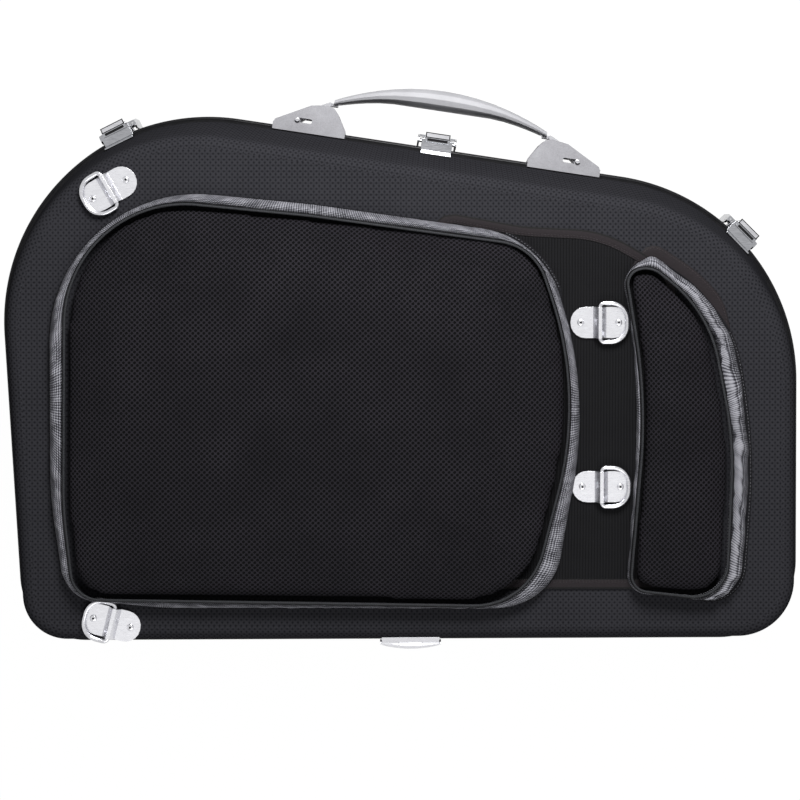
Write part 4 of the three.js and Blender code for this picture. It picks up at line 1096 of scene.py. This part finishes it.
def makeRooms():
    length, width, radius = ringSizes["plate"]
    plate = [(x * length / 2, y * width / 2, radius) for x, y in ((-1, -1), (1, -1), (1, 1), (-1, 1))]
    found = []
    for name in ringSizes["places"]:
        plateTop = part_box("ring_screw_" + name + "_far_side")[1].z / mm + sizes["seatGap"]
        found.append(roomAround(name, plate, clearSizes["aroundPlate"], plateTop, False))
        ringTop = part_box("d_ring_" + name)[1].z / mm + clearSizes["overRing"]
        found.append(roomAround(name, ringCorners(), clearSizes["aroundRing"], ringTop, True))
        if name == clearSizes["tight"]:
            swung = [(-x * clearSizes["swungShare"], -y, r) for x, y, r in ringCorners()]
            found.append(roomAround(name, swung, clearSizes["aroundSwung"], clearSizes["swungTop"], True))
    return found


rooms = makeRooms()


# Cloth beside the hardware: it rides up over a plate and is pressed in beside a ring
def clearRooms(points, inwards):
    for room in rooms:
        away = outside(room["line"], points[:, :2])
        if room["pressed"]:
            fade = clearSizes["pressFade"]
            press = np.clip(-away, 0, clearSizes["deepestPress"])
            press *= np.clip((room["top"] + fade - points[:, 2]) / fade, 0, 1)
            points[:, :2] += inwards * press[:, None]
        else:
            tent = np.maximum(points[:, 2], room["top"] - clearSizes["tentSlope"] * np.clip(away, 0, None))
            points[:, 2] = np.where(away < clearSizes["tentReach"], tent, points[:, 2])
    return points


# Screws of the ring plates: a domed head with a six-lobed socket, set on points by a node tree

screwSizes = {
    "radius": 2.5, "height": 1.1, "foot": 0.3, "neck": 0.9, "brim": 0.92, "brimHeight": 0.3,
    "domeShare": 0.78, "socket": 0.8, "socketMouth": 1.15, "socketEdge": 0.1, "socketDepth": 0.7,
    "lobes": 0.16, "lobeCount": 6, "sides": 36, "steps": 5, "turns": (0.4, 1.9), "smoothDegrees": 35,
}


def screwHeadMesh():
    radius, height, socket = screwSizes["radius"], screwSizes["height"], screwSizes["socket"]
    dome, brim = math.pi / 2 * screwSizes["domeShare"], screwSizes["brimHeight"]
    rows = [(radius * screwSizes["neck"], -screwSizes["foot"], 0), (radius * screwSizes["brim"], 0, 0)]
    for step in range(screwSizes["steps"] + 1):
        angle = dome * step / screwSizes["steps"]
        climb = brim + (1 - brim) * math.sin(angle) / math.sin(dome)
        rows.append((radius * math.cos(angle), height * climb, 0))
    rows += [(socket * screwSizes["socketMouth"], height, 1), (socket, height - screwSizes["socketEdge"], 1),
             (socket, height - screwSizes["socketDepth"], 1)]
    rings = []
    for rowRadius, z, lobed in rows:
        ring = []
        for side in range(screwSizes["sides"]):
            angle = 2 * math.pi * side / screwSizes["sides"]
            lobe = screwSizes["lobes"] * math.cos(screwSizes["lobeCount"] * angle)
            reach = rowRadius * (1 + lobed * lobe)
            ring.append((reach * math.cos(angle) * mm, reach * math.sin(angle) * mm, z * mm))
        rings.append(ring)
    # The socket's wall and floor take the painted shade finish
    mesh = ringMesh("screwHead", rings, [0] * (len(rings) - 2) + [1])
    mesh.materials.append(finishes["bright"])
    mesh.materials.append(finishes["socket"])
    return mesh


# Sets an object on each point, turned by the point's own "turn" value; the object keeps its two finishes
def screwTree():
    tree, start = newTree("screwsOnPoints", Screw=("Object", None), Scale=("Float", 1.0))
    head = addNode(tree, "GeometryNodeObjectInfo", {"Object": start["Screw"]})
    angles = addNode(tree, "ShaderNodeCombineXYZ", {"Z": namedValue(tree, "turn")})
    points = addNode(tree, "GeometryNodeInstanceOnPoints", {
        "Points": start["Geometry"], "Instance": head.outputs["Geometry"], "Rotation": angles.outputs[0],
        "Scale": start["Scale"]})
    endTree(tree, points.outputs["Instances"])
    return tree


def makeRingScrews():
    names = sorted(n for n in nodes if n.startswith("ring_screw"))
    firstTurn, nextTurn = screwSizes["turns"]
    points, turns = [], []
    for index, node in enumerate(names):
        low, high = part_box(node)
        points.append(((low.x + high.x) / 2, (low.y + high.y) / 2, high.z - screwSizes["height"] * mm))
        turns.append(firstTurn + nextTurn * index)
    mesh = bpy.data.meshes.new("screwPoints")
    mesh.from_pydata(points, [], [])
    pointValues(mesh, "turn", turns)
    head = linked("screwHead", screwHeadMesh())
    result = runTree(mesh, screwTree(), {"Screw": head, "Scale": 1.0})
    bpy.data.objects.remove(head)
    piece = settle("ring_screws", "back_half", None, result, screwSizes["smoothDegrees"])
    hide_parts(*names)


makeRingScrews()
print("screws made")


# Stitches along a path: short rounded loops at an even pitch, each a little different
stitchSizes = {"segments": 6, "rings": 4, "least": 0.85, "most": 1.1}


def stitchTree():
    tree, start = newTree("stitchesAlongPath", Pitch=("Float", 0.0025), Length=("Float", 0.0017),
                          Width=("Float", 0.0005), Seed=("Int", 1), Thread=("Material", None))
    path = addNode(tree, "GeometryNodeMeshToCurve", {"Mesh": start["Geometry"]})
    points = addNode(tree, "GeometryNodeCurveToPoints", {
        "Curve": path.outputs["Curve"], "Length": start["Pitch"]}, mode="LENGTH")
    loop = addNode(tree, "GeometryNodeMeshUVSphere", {
        "Segments": stitchSizes["segments"], "Rings": stitchSizes["rings"], "Radius": 0.5})
    size = addNode(tree, "ShaderNodeCombineXYZ", {
        "X": start["Width"], "Y": start["Width"], "Z": start["Length"]})
    shaped = addNode(tree, "GeometryNodeTransform", {
        "Geometry": loop.outputs["Mesh"], "Scale": size.outputs[0]})
    vary = addNode(tree, "FunctionNodeRandomValue", {
        "Min": [stitchSizes["least"]] * 3, "Max": [stitchSizes["most"]] * 3, "Seed": start["Seed"]},
        data_type="FLOAT_VECTOR")
    loops = addNode(tree, "GeometryNodeInstanceOnPoints", {
        "Points": points.outputs["Points"], "Instance": shaped.outputs["Geometry"],
        "Rotation": points.outputs["Rotation"], "Scale": vary.outputs["Value"]})
    endTree(tree, loops.outputs["Instances"], start["Thread"])
    return tree


stitches = stitchTree()


# Paths are lists of open runs of points, in millimetres
def makeStitches(name, runs, sewing):
    points, edges = [], []
    for run in runs:
        edges += [(len(points) + i, len(points) + i + 1) for i in range(len(run) - 1)]
        points += run
    mesh = runTree(meshFrom(name, points, [], edges), stitches, {
        "Pitch": sewing["pitchMm"] * mm, "Length": sewing["lengthMm"] * mm, "Width": sewing["widthMm"] * mm,
        "Seed": sewing["seed"], "Thread": finishes[sewing["thread"]]})
    piece = settle(name, "back_half", None, mesh, 180)


# Ribbed panel between the pads, with a ribbon hem sewn round it

panelSizes = {
    "foot": 0.3, "thickness": 1.0, "edge": 0.3, "edgeEnd": 0.9, "hemWidth": 6.8, "hemLift": 0.22,
    "hemSpacing": 8, "upperLap": 7.0, "lapFromY": 20, "lapFullY": 60, "steps": [3, 3, 4, 10, 14, 3],
    "smoothDegrees": 60,
    "corners": [(0.0647, -0.3605, 0.02), (0.3137, -0.3605, 0.02), (0.3137, 0.1953, 0.03), (0.236, 0.264, 0.2),
                (0.1414, 0.271, 0.4), (0.0458, 0.2979, 0.02)],
    "seams": (4.6, 6.0), "seamLift": 0.05, "footFade": 1.5,
    "sewing": {"pitchMm": 2.4, "lengthMm": 1.8, "widthMm": 0.35, "seed": 3, "thread": "darkThread"},
}
panelCorners = cornersOf(panelSizes["corners"])
panelTop = sizes["face"] + panelSizes["foot"] + panelSizes["thickness"]
panelLine = np.array(outline(panelCorners, panelSizes["steps"]))


# A ring round the panel that lies further out along its upper edge, where the ribbon laps onto the shell
def hemRing(inset, z):
    low = levelRing(panelCorners, panelSizes["steps"], inset, z)
    high = levelRing(panelCorners, panelSizes["steps"], inset - panelSizes["upperLap"], z)
    return [a.lerp(b, smooth(b.y, panelSizes["lapFromY"], panelSizes["lapFullY"])) for a, b in zip(low, high)]


def makePanel():
    base, top, edge = sizes["face"] + panelSizes["foot"], panelTop, panelSizes["edge"]
    section = [(0, base), (0, top - edge), (edge, top), (panelSizes["edgeEnd"], top)]
    rings = [levelRing(panelCorners, panelSizes["steps"], inset, z) for inset, z in section]
    mesh = loftMesh("back_panel_cloth", rings)
    angle = panelSizes["smoothDegrees"]
    piece = settle("back_panel_cloth", "back_half", finishes["panel"], mesh, angle)
    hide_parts("back_panel")
    lift, width = panelSizes["hemLift"], panelSizes["hemWidth"]
    # The ribbon's section, from its outer foot over its top to its inner edge
    section = [(-0.3, base), (-0.4, top + lift * 0.5), (0.1, top + lift), (width - 0.4, top + lift),
               (width, top + lift * 0.4), (width, top - 0.2)]
    rings = spreadRings([hemRing(inset, z) for inset, z in section], panelSizes["hemSpacing"])
    hem = loftMesh("back_panel_hem", rings, hoop=True)
    settle("back_panel_hem", "back_half", finishes["hem"], hem, angle)
    runs = [hemRing(inset, top + lift + panelSizes["seamLift"]) for inset in panelSizes["seams"]]
    makeStitches("back_panel_stitches", [run + run[:1] for run in runs], panelSizes["sewing"])


makePanel()
print("panel made")


# Where the cloth meets the case: on the shell, or on the panel that lies on it
def floorHeight(points):
    onPanel = np.clip(-outside(panelLine, points) / panelSizes["footFade"] + 0.5, 0, 1)
    onPanel = onPanel * onPanel * (3 - 2 * onPanel)
    return sizes["face"] + sizes["seatGap"] + onPanel * (panelTop - sizes["face"])


# Pads: foam under spacer mesh, swollen by a cloth simulation and held at the piping

# The mesh's rows draw together where the cloth dips to the piping
def mapCloth(mesh, line):
    points = caseMm(mesh)
    nearest, distance = nearestOn(line, points[:, :2])
    outwards = (nearest - points[:, :2]) / np.maximum(distance, 1e-6)[:, None]
    gather = padSizes["gatherMm"] * np.exp(-distance / padSizes["gatherFadeMm"])
    cloth = points * mm
    cloth[:, :2] += outwards * gather[:, None] * mm
    pointValues(mesh, "cloth", cloth.ravel(), "FLOAT_VECTOR", "vector")


def blowUp(mesh, heldBelow):
    pad = linked("blowing", mesh)
    before = np.array([v.co for v in mesh.vertices])
    held = pad.vertex_groups.new(name="held")
    held.add([v.index for v in mesh.vertices if v.co.z < heldBelow], 1.0, "REPLACE")
    cloth = pad.modifiers.new("cloth", "CLOTH")
    cloth.settings.use_pressure = True
    cloth.settings.uniform_pressure_force = padSizes["pressure"]
    cloth.settings.vertex_group_mass = "held"
    cloth.settings.effector_weights.gravity = 0
    cloth.settings.quality = padSizes["quality"]
    for step in range(1, padSizes["frames"] + 1):
        bpy.context.scene.frame_set(step)
    after = np.array([v.co for v in evaluated(pad).vertices])
    pad.modifiers.remove(cloth)
    bpy.data.objects.remove(pad)
    bpy.context.scene.frame_set(1)
    move = after - before
    length = np.linalg.norm(move, axis=1, keepdims=True)
    move *= np.minimum(1, padSizes["capMm"] * mm / np.maximum(length, 1e-9))
    mesh.vertices.foreach_set("co", (before + move).ravel())


# A pad's piping line or a band's foot: its corners, and the arc steps that fit the piping line
def padCorners(name, part):
    return cornersOf(padSizes[name][part]), arcSteps(cornersOf(padSizes[name]["line"]), padSizes["arcStepMm"])


def makePad(name):
    node = name + "_pad"
    line = np.array(outline(*padCorners(name, "line")))
    mesh = mergedCopy(node)
    edge = (sizes["face"] + padSizes["pipingHeight"]) * mm
    for vertex in mesh.vertices:
        if vertex.co.z > edge + padSizes["topAboveMm"] * mm:
            vertex.co.z -= padSizes["shrinkMm"] * mm
    mesh = modified(mesh, ("REMESH", {"mode": "VOXEL", "voxel_size": padSizes["voxelMm"] * mm}))
    blowUp(mesh, edge - padSizes["heldBelowMm"] * mm)
    mesh = modified(mesh, ("SMOOTH", {"factor": 0.5, "iterations": padSizes["smoothing"]}),
                    ("SUBSURF", {"levels": 1, "render_levels": 1}))
    points = caseMm(mesh)
    nearest, distance = nearestOn(line, points[:, :2])
    inwards = (points[:, :2] - nearest) / np.maximum(distance, 1e-6)[:, None]
    low = points[:, 2] < sizes["face"] + padSizes["pipingHeight"] - padSizes["pressedBelowMm"]
    points[low] = clearRooms(points[low], inwards[low])
    mesh.vertices.foreach_set("co", (points * mm + np.array(offset)).ravel())
    mapCloth(mesh, line)
    piece = settle(node + "_cushion", "back_half", finishes["mesh"], mesh, 180)
    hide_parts(node)


# Piping: a cord in folded tape, with the tape's edge flat beside it
pipingSizes = {"cord": 0.85, "cordIn": 0.4, "cordUp": 0.6, "from": 215, "to": -70, "steps": 11,
               "edge": [(0.9, -1.7), (-1.1, -1.7), (-1.3, -1.2), (-1.2, -0.8)], "spacingMm": 4,
               "smoothDegrees": 50}


def makePiping(name):
    node = name + "_pad_piping"
    corners, arcs = padCorners(name, "line")
    start, end, cord = pipingSizes["from"], pipingSizes["to"], pipingSizes["cord"]
    section = []
    for step in range(pipingSizes["steps"] + 1):
        angle = math.radians(start + (end - start) * step / pipingSizes["steps"])
        section.append((pipingSizes["cordIn"] + cord * math.cos(angle),
                        pipingSizes["cordUp"] + cord * math.sin(angle)))
    height = sizes["face"] + padSizes["pipingHeight"]
    rings = [levelRing(corners, arcs, inset, height + lift) for inset, lift in section + pipingSizes["edge"]]
    mesh = loftMesh(node + "_cord", spreadRings(rings, pipingSizes["spacingMm"]), hoop=True)
    piece = settle(node + "_cord", "back_half", finishes["piping"], mesh, pipingSizes["smoothDegrees"])
    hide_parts(node)


# Side bands: knitted cloth that rises steeply from the case, rolls over and dips to the piping's seam.
# Pairs of widths are where a change begins and ends. Each noise is a length along the band in
# millimetres and a level of its own, and the folds' lengths go with how often they turn across the band.
# Joints are places where the band's ends overlap; wander moves the foot of a loose stretch in and out.
# Its tone values paint light and shade on the band: the fold and fine noises lighten its swells and darken
# its hollows, and a joint's creases are painted darker
bandSizes = {
    "rows": 14, "ribMm": 1.65, "ribDepthMm": 0.05, "columnsPerRib": 4, "topDropMm": 2.6, "thicknessMm": 1.2,
    "looseWidths": (4, 13), "broadWidths": (11, 16), "leanMm": 30, "spacingMm": 2.0, "curl": 0.6,
    "slackNoise": (17, 4.2), "slackMost": 0.35, "waverNoise": (13, 8.8), "waverLeast": 0.4, "dipStartMm": 3,
    "ridgeShare": 0.72, "ridgeLiftMm": 1.0, "ridgeNoise": (26, 0.3), "ridgeWander": 0.2, "ridgeLoose": 0.12,
    "foldMm": 9, "foldTurns": 1.6, "foldSwell": 1.5, "foldShadeTone": 0.7, "fineSeed": 7.3,
    "fineMm": 3.4, "fineTurns": 3.0, "fineSwell": 0.6, "fineShadeTone": 0.5, "swellOut": 0.5, "swellUp": 0.8,
    "jointHalfMm": 3.0, "jointDepthMm": 0.5, "jointSharpMm": 0.35, "jointShadeTone": 0.8,
    "large": {"seed": 3.1, "fold": 0.7, "valley": (1.4, 1.2, 0.0), "waver": 0.2, "wanderMm": 0.0,
              "joints": [(-256, 3), (131, -17)]},
    "small": {"seed": 11.7, "fold": 1.7, "valley": (2.6, 1.2, 2.2), "waver": 1.3, "wanderMm": 1.6,
              "joints": []},
}


# Ribs across a band: each point moves along its normal by a wave of its "along" value
def ribTree():
    tree, start = newTree("ribsAlongBand", Pitch=("Float", 0.0015), Depth=("Float", 0.0001),
                          Cloth=("Material", None))
    turns = calc(tree, "DIVIDE", namedValue(tree, "along"), start["Pitch"])
    wave = calc(tree, "SINE", calc(tree, "MULTIPLY", turns, 2 * math.pi))
    height = calc(tree, "MULTIPLY", calc(tree, "MULTIPLY", wave, namedValue(tree, "ribbed")), start["Depth"])
    normal = addNode(tree, "GeometryNodeInputNormal").outputs[0]
    move = addNode(tree, "ShaderNodeVectorMath", {0: normal, "Scale": height}, operation="SCALE").outputs[0]
    raised = addNode(tree, "GeometryNodeSetPosition", {"Geometry": start["Geometry"], "Offset": move})
    endTree(tree, raised.outputs["Geometry"], start["Cloth"])
    return tree


ribs = ribTree()


# Two paired rings at an even spacing, with the lean between them smoothed so that no columns fan out
def evenPairs(foot, crest, spacing):
    shares, lengths, rings = [], [], []
    for ring in (foot, crest):
        closed = np.array([tuple(p) for p in ring + ring[:1]])
        reach = np.concatenate([[0], np.cumsum(np.linalg.norm(np.diff(closed, axis=0), axis=1))])
        shares.append(reach / reach[-1])
        lengths.append(reach[-1])
        rings.append(closed)
    count = math.ceil(max(lengths) / spacing)
    even = np.arange(count) / count
    lean = np.interp(even, shares[1], shares[0] - shares[1])
    window = np.hanning(max(3, int(bandSizes["leanMm"] / spacing)))
    lean = np.convolve(np.tile(lean, 3), window / window.sum(), "same")[count:2 * count]
    pairs = []
    for ring, share, place in zip(rings, shares, ((even + lean) % 1, even)):
        pairs.append([Vector([np.interp(s, share, ring[:, axis]) for axis in range(3)]) for s in place])
    return pairs


def bandFoot(name):
    corners, arcs = padCorners(name, "line")
    feet, _ = padCorners(name, "foot")
    top = sizes["face"] + padSizes["pipingHeight"] - bandSizes["topDropMm"]
    rings = [levelRing(feet, arcs, 0, 0), levelRing(corners, arcs, -bandSizes["thicknessMm"] / 2, top)]
    rings = spreadRings(rings, bandSizes["spacingMm"])
    foot, crest = evenPairs(*rings, bandSizes["ribMm"] / bandSizes["columnsPerRib"])
    for point, height in zip(foot, floorHeight(flat(foot))):
        point.z = height
    reach, outwards = [0.0], []
    for i in range(len(foot)):
        j = (i + 1) % len(foot)
        along = (foot[j] - foot[i - 1]).normalized()
        outwards.append(Vector((along.y, -along.x, 0)))
        reach.append(reach[-1] + (foot[j] - foot[i]).length)
    return foot, crest, outwards, reach


# Slow random change along a band; each level and seed has its own
def wander(place, lengthMm, level, seed):
    return noise.noise(Vector((place / lengthMm, level, seed)))


# 1 at the two edges of a joint, and 0 away from them
def creaseAt(place, joints):
    edges = [joint + side * bandSizes["jointHalfMm"] for joint in joints for side in (-1, 1)]
    return max([math.exp(-((place - edge) / bandSizes["jointSharpMm"]) ** 2) for edge in edges], default=0.0)


# One column of a band from its foot to the seam: points, and each one's painted fold shade, lighter on a
# swell and darker in a hollow or a joint's crease
def bandColumn(band, place, low, high, out, crease):
    seed, count = band["seed"], bandSizes["rows"]
    slack = min(bandSizes["slackMost"], wander(place, *bandSizes["slackNoise"], seed))
    start = low + out * band["wanderMm"] * slack
    across = Vector((high.x - start.x, high.y - start.y, 0))
    width, straight = across.length, high.z - start.z
    loose = smooth(width, *bandSizes["looseWidths"])
    depth, narrow, wide = band["valley"]
    waver = 1 + band["waver"] * wander(place, *bandSizes["waverNoise"], seed)
    valley = (narrow + wide * smooth(width, *bandSizes["broadWidths"])) * max(bandSizes["waverLeast"], waver)
    ridge = bandSizes["ridgeShare"] - bandSizes["ridgeLoose"] * loose
    ridge += bandSizes["ridgeWander"] * wander(place, *bandSizes["ridgeNoise"], seed)
    rise = straight + bandSizes["ridgeLiftMm"] * loose
    points, foldShades = [], []
    for row in range(count + 1):
        v = row / count
        climb = math.sin(math.pi / 2 * min(1, v / ridge))
        curl = (1 - math.cos(math.pi / 2 * v)) * bandSizes["curl"] + v * (1 - bandSizes["curl"])
        fromSeam = (1 - v) * (width + bandSizes["dipStartMm"])
        dip = depth * loose * math.exp(-(fromSeam / valley) ** 2)
        wave = wander(place, bandSizes["foldMm"], v * bandSizes["foldTurns"], seed)
        fine = wander(place, bandSizes["fineMm"], v * bandSizes["fineTurns"], seed + bandSizes["fineSeed"])
        belly = math.sin(math.pi * v)
        swell = belly * loose * band["fold"] * (wave * bandSizes["foldSwell"] + fine * bandSizes["fineSwell"])
        swell -= crease * bandSizes["jointDepthMm"] * belly
        point = start + across * curl + out * swell * bandSizes["swellOut"]
        point.z = start.z + rise * climb - dip + swell * bandSizes["swellUp"]
        if v > ridge:
            point.z -= (rise - straight) * smooth(v, ridge, 1)
        points.append(point)
        # Painted light and shade: lighter where the noises swell the cloth out, darker in the hollows and at
        # a joint's creases
        tone = wave * bandSizes["foldShadeTone"] + fine * bandSizes["fineShadeTone"] - crease * bandSizes["jointShadeTone"]
        foldShades.append(max(0.0, min(1.0, 0.5 + tone)))
    return points, foldShades


def makeBand(name):
    node, band, count = name + "_pad_gusset", bandSizes[name], bandSizes["rows"]
    foot, crest, outwards, reach = bandFoot(name)
    joints = []
    for x, y in band["joints"]:
        nearest = min(range(len(foot)), key=lambda i: math.hypot(foot[i].x - x, foot[i].y - y))
        joints.append(reach[nearest])
    columns = []
    for place, low, high, out in zip(reach, foot, crest, outwards):
        columns.append(bandColumn(band, place, low, high, out, creaseAt(place, joints)))
    side = -flat(outwards)
    rows = []
    for row in range(count + 1):
        points = np.array([tuple(column[row]) for column, _ in columns])
        rows.append([Vector(p) for p in clearRooms(points, side)])
    inner = [[p - o * bandSizes["thicknessMm"] for p, o in zip(rows[row], outwards)]
             for row in (count, count // 2, 0)]
    mesh = loftMesh(node + "_knit", rows + inner, hoop=True)
    insides = len(columns) * len(inner)
    # The fold attribute carries the painted fold shade to the band's finish
    foldShades = [fold[row] for row in range(count + 1) for _, fold in columns]
    ribbed = [math.sin(math.pi * row / count) for row in range(count + 1) for _ in columns]
    pointValues(mesh, "fold", foldShades + [0.5] * insides)
    pointValues(mesh, "along", [s * mm for s in reach[:-1]] * len(rows + inner))
    pointValues(mesh, "ribbed", ribbed + [0.0] * insides)
    pitch = reach[-1] / round(reach[-1] / bandSizes["ribMm"])
    mesh = runTree(mesh, ribs, {
        "Pitch": pitch * mm, "Depth": bandSizes["ribDepthMm"] * mm, "Cloth": finishes["band"]})
    piece = settle(node + "_knit", "back_half", finishes["band"], mesh, 180)
    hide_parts(node)


# A band's foot with fewer points, for the strips that lie beside it
def sparseFoot(name):
    foot, _, outwards, _ = bandFoot(name)
    step = bandSizes["columnsPerRib"] * 2
    return foot[::step], outwards[::step]


# A strip along a band's foot. Its section's heights are in millimetres, and its places are shares of the
# strip's width outwards, or millimetres under the band.
def footStrip(name, foot, outwards, widths, section):
    rings = []
    for share, lift in section:
        rings.append([p + o * (w * share if share > 0 else share) + Vector((0, 0, lift))
                      for p, o, w in zip(foot, outwards, widths)])
    return loftMesh(name, rings, hoop=True)


# The hem's ribbon runs on past the panel, round the outer side of the small pad's tip
tailSizes = {"width": 8.6, "hidden": 0.3, "thickness": 0.3, "under": -0.25, "fromX": 168, "fullX": 186,
             "endY": 30, "fullY": 66, "seamIn": 1.6, "seamFrom": 0.4, "shadeLineAt": 8.0, "flatFrom": 3.2}


def ribbonShare(name, point):
    if name != "small":
        return 0.0
    return (smooth(point.x, tailSizes["fromX"], tailSizes["fullX"])
            * smooth(point.y, tailSizes["endY"], tailSizes["fullY"]))


def makeRibbonTail():
    foot, outwards = sparseFoot("small")
    shares = [ribbonShare("small", p) for p in foot]
    widths = [tailSizes["hidden"] + share * tailSizes["width"] for share in shares]
    thick, under = tailSizes["thickness"], tailSizes["under"]
    section = [(-1, under), (-1, thick), (0.5, thick), (0.94, thick), (1, thick * 0.4), (1, under)]
    mesh = footStrip("small_pad_ribbon", foot, outwards, widths, section)
    # The weave map lays the hem's painted shade line along the tail's outer edge
    layer = mesh.uv_layers["weave"].data
    for loop in mesh.loops:
        ring, column = divmod(loop.vertex_index, len(foot))
        across = tailSizes["shadeLineAt"] - widths[column] * (1 - max(0, section[ring][0]))
        layer[loop.index].uv.y = max(tailSizes["flatFrom"], across) * mm
    piece = settle("small_pad_ribbon", "back_half", finishes["hem"], mesh, panelSizes["smoothDegrees"])
    lift = Vector((0, 0, thick + panelSizes["seamLift"]))
    run = [p + o * (w - tailSizes["seamIn"]) + lift
           for p, o, w, share in zip(foot, outwards, widths, shares) if share > tailSizes["seamFrom"]]
    makeStitches("small_pad_ribbon_stitches", [run], panelSizes["sewing"])


# Flat binding at a band's foot with a row of stitches, left out where a plate or ring lies. It shows only
# where a band faces away from the panel: past an x and a y, over the length of the fade.
flangeSizes = {
    "width": 2.8, "narrow": 0.5, "least": 0.3, "thickness": 0.5, "under": -0.25, "plateMargin": 1.2,
    "fadeMm": 12, "shown": {"large": (62, 62), "small": (212, -400)}, "smoothDegrees": 50,
    "seamAt": 0.55, "seamLift": 0.05, "seamFrom": 0.8, "leastRun": 3,
    "sewing": {"pitchMm": 2.5, "lengthMm": 1.5, "widthMm": 0.5, "seed": 5, "thread": "paleThread"},
}


def flangeWidths(name, foot):
    free = np.full(len(foot), 1e9)
    for room in rooms:
        free = np.minimum(free, outside(room["line"], flat(foot)))
    fromX, fromY = flangeSizes["shown"][name]
    fade, narrow, widest = flangeSizes["fadeMm"], flangeSizes["narrow"], flangeSizes["width"]
    shown = [smooth(p.x, fromX, fromX + fade) * smooth(p.y, fromY, fromY + fade) * (1 - ribbonShare(name, p))
             for p in foot]
    full = narrow + np.array(shown) * (widest - narrow)
    return np.minimum(full, np.clip(free - flangeSizes["plateMargin"], flangeSizes["least"], widest))


def makeFlange(name):
    foot, outwards = sparseFoot(name)
    widths = flangeWidths(name, foot)
    thick, under = flangeSizes["thickness"], flangeSizes["under"]
    section = [(-0.8, under), (-0.8, thick), (0.8, thick), (1.0, thick * 0.5), (1.0, under)]
    mesh = footStrip(name + "_pad_binding", foot, outwards, widths, section)
    piece = settle(name + "_pad_binding", "back_half", finishes["binding"], mesh,
                   flangeSizes["smoothDegrees"])
    lift = Vector((0, 0, thick + flangeSizes["seamLift"]))
    runs, run = [], []
    for p, o, w in zip(foot, outwards, widths):
        if w > flangeSizes["width"] * flangeSizes["seamFrom"]:
            run.append(p + o * w * flangeSizes["seamAt"] + lift)
        elif run:
            runs.append(run)
            run = []
    runs.append(run)
    runs = [run for run in runs if len(run) >= flangeSizes["leastRun"]]
    makeStitches(name + "_pad_stitches", runs, flangeSizes["sewing"])


for name in ("large", "small"):
    makePad(name)
    makePiping(name)
    makeBand(name)
    makeFlange(name)
makeRibbonTail()
print("pads made")


# Room: a pale floor that keeps the shadow, and white seen by the camera and in reflections.
# Of the floor, floorShare glows; the rest is matt, in one tone for the camera and one for the light.

roomSizes = {"floor": 6.0, "floorShare": 0.88, "floorGlow": 1.11, "floorSeen": 0.5, "floorBounce": 0.14,
             "worldStrength": 0.2}


def seenShare(tree):
    path = addNode(tree, "ShaderNodeLightPath").outputs
    mirrored = calc(tree, "MAXIMUM", path["Is Glossy Ray"], path["Is Transmission Ray"])
    return calc(tree, "MAXIMUM", path["Is Camera Ray"], mirrored)


def emptyTree(owner):
    owner.use_nodes = True
    owner.node_tree.nodes.clear()
    return owner.node_tree


def makeFloor():
    half = roomSizes["floor"] / 2
    corners = [(-half, -half, 0), (half, -half, 0), (half, half, 0), (-half, half, 0)]
    mesh = bpy.data.meshes.new("floor")
    mesh.from_pydata(corners, [], [(0, 1, 2, 3)])
    linked("floor", mesh)
    material = bpy.data.materials.new("paleFloor")
    tree = emptyTree(material)
    share = calc(tree, "MULTIPLY", seenShare(tree), roomSizes["floorShare"])
    camera = addNode(tree, "ShaderNodeLightPath").outputs["Is Camera Ray"]
    bounce = roomSizes["floorBounce"]
    tone = calc(tree, "MULTIPLY_ADD", camera, roomSizes["floorSeen"] - bounce, bounce)
    matt = addNode(tree, "ShaderNodeBsdfDiffuse", {"Color": tone})
    glow = addNode(tree, "ShaderNodeEmission", {"Color": (1, 1, 1, 1), "Strength": roomSizes["floorGlow"]})
    mix = addNode(tree, "ShaderNodeMixShader", {0: share, 1: matt.outputs[0], 2: glow.outputs[0]})
    addNode(tree, "ShaderNodeOutputMaterial", {"Surface": mix.outputs[0]})
    mesh.materials.append(material)


def makeWorld():
    world = bpy.data.worlds.new("studio")
    bpy.context.scene.world = world
    tree = emptyTree(world)
    dim = roomSizes["worldStrength"]
    strength = calc(tree, "MULTIPLY_ADD", seenShare(tree), 1 - dim, dim)
    sky = addNode(tree, "ShaderNodeBackground", {"Color": (1, 1, 1, 1), "Strength": strength})
    addNode(tree, "ShaderNodeOutputWorld", {"Surface": sky.outputs[0]})


# Soft lamps: the key stands beyond the handle, so that the side walls fall darker than the top one
lamps = [
    {"name": "keyLamp", "place": (0.1, 0.62, 0.8), "aim": (0.05, 0.1, 0.15), "size": 0.4, "power": 9.5},
    {"name": "fillLamp", "place": (0.2, -1.1, 1.5), "aim": (0, 0, 0.15), "size": 1.2, "power": 9},
]


def makeLamp(lamp):
    data = bpy.data.lights.new(lamp["name"], "AREA")
    data.shape = "DISK"
    data.size = lamp["size"]
    data.energy = lamp["power"]
    piece = bpy.data.objects.new(lamp["name"], data)
    piece.location = lamp["place"]
    piece.rotation_euler = (Vector(lamp["place"]) - Vector(lamp["aim"])).to_track_quat("Z", "Y").to_euler()
    bpy.context.scene.collection.objects.link(piece)


makeFloor()
makeWorld()
for lamp in lamps:
    makeLamp(lamp)
bpy.context.scene.view_settings.view_transform = "Standard"
print("room made")
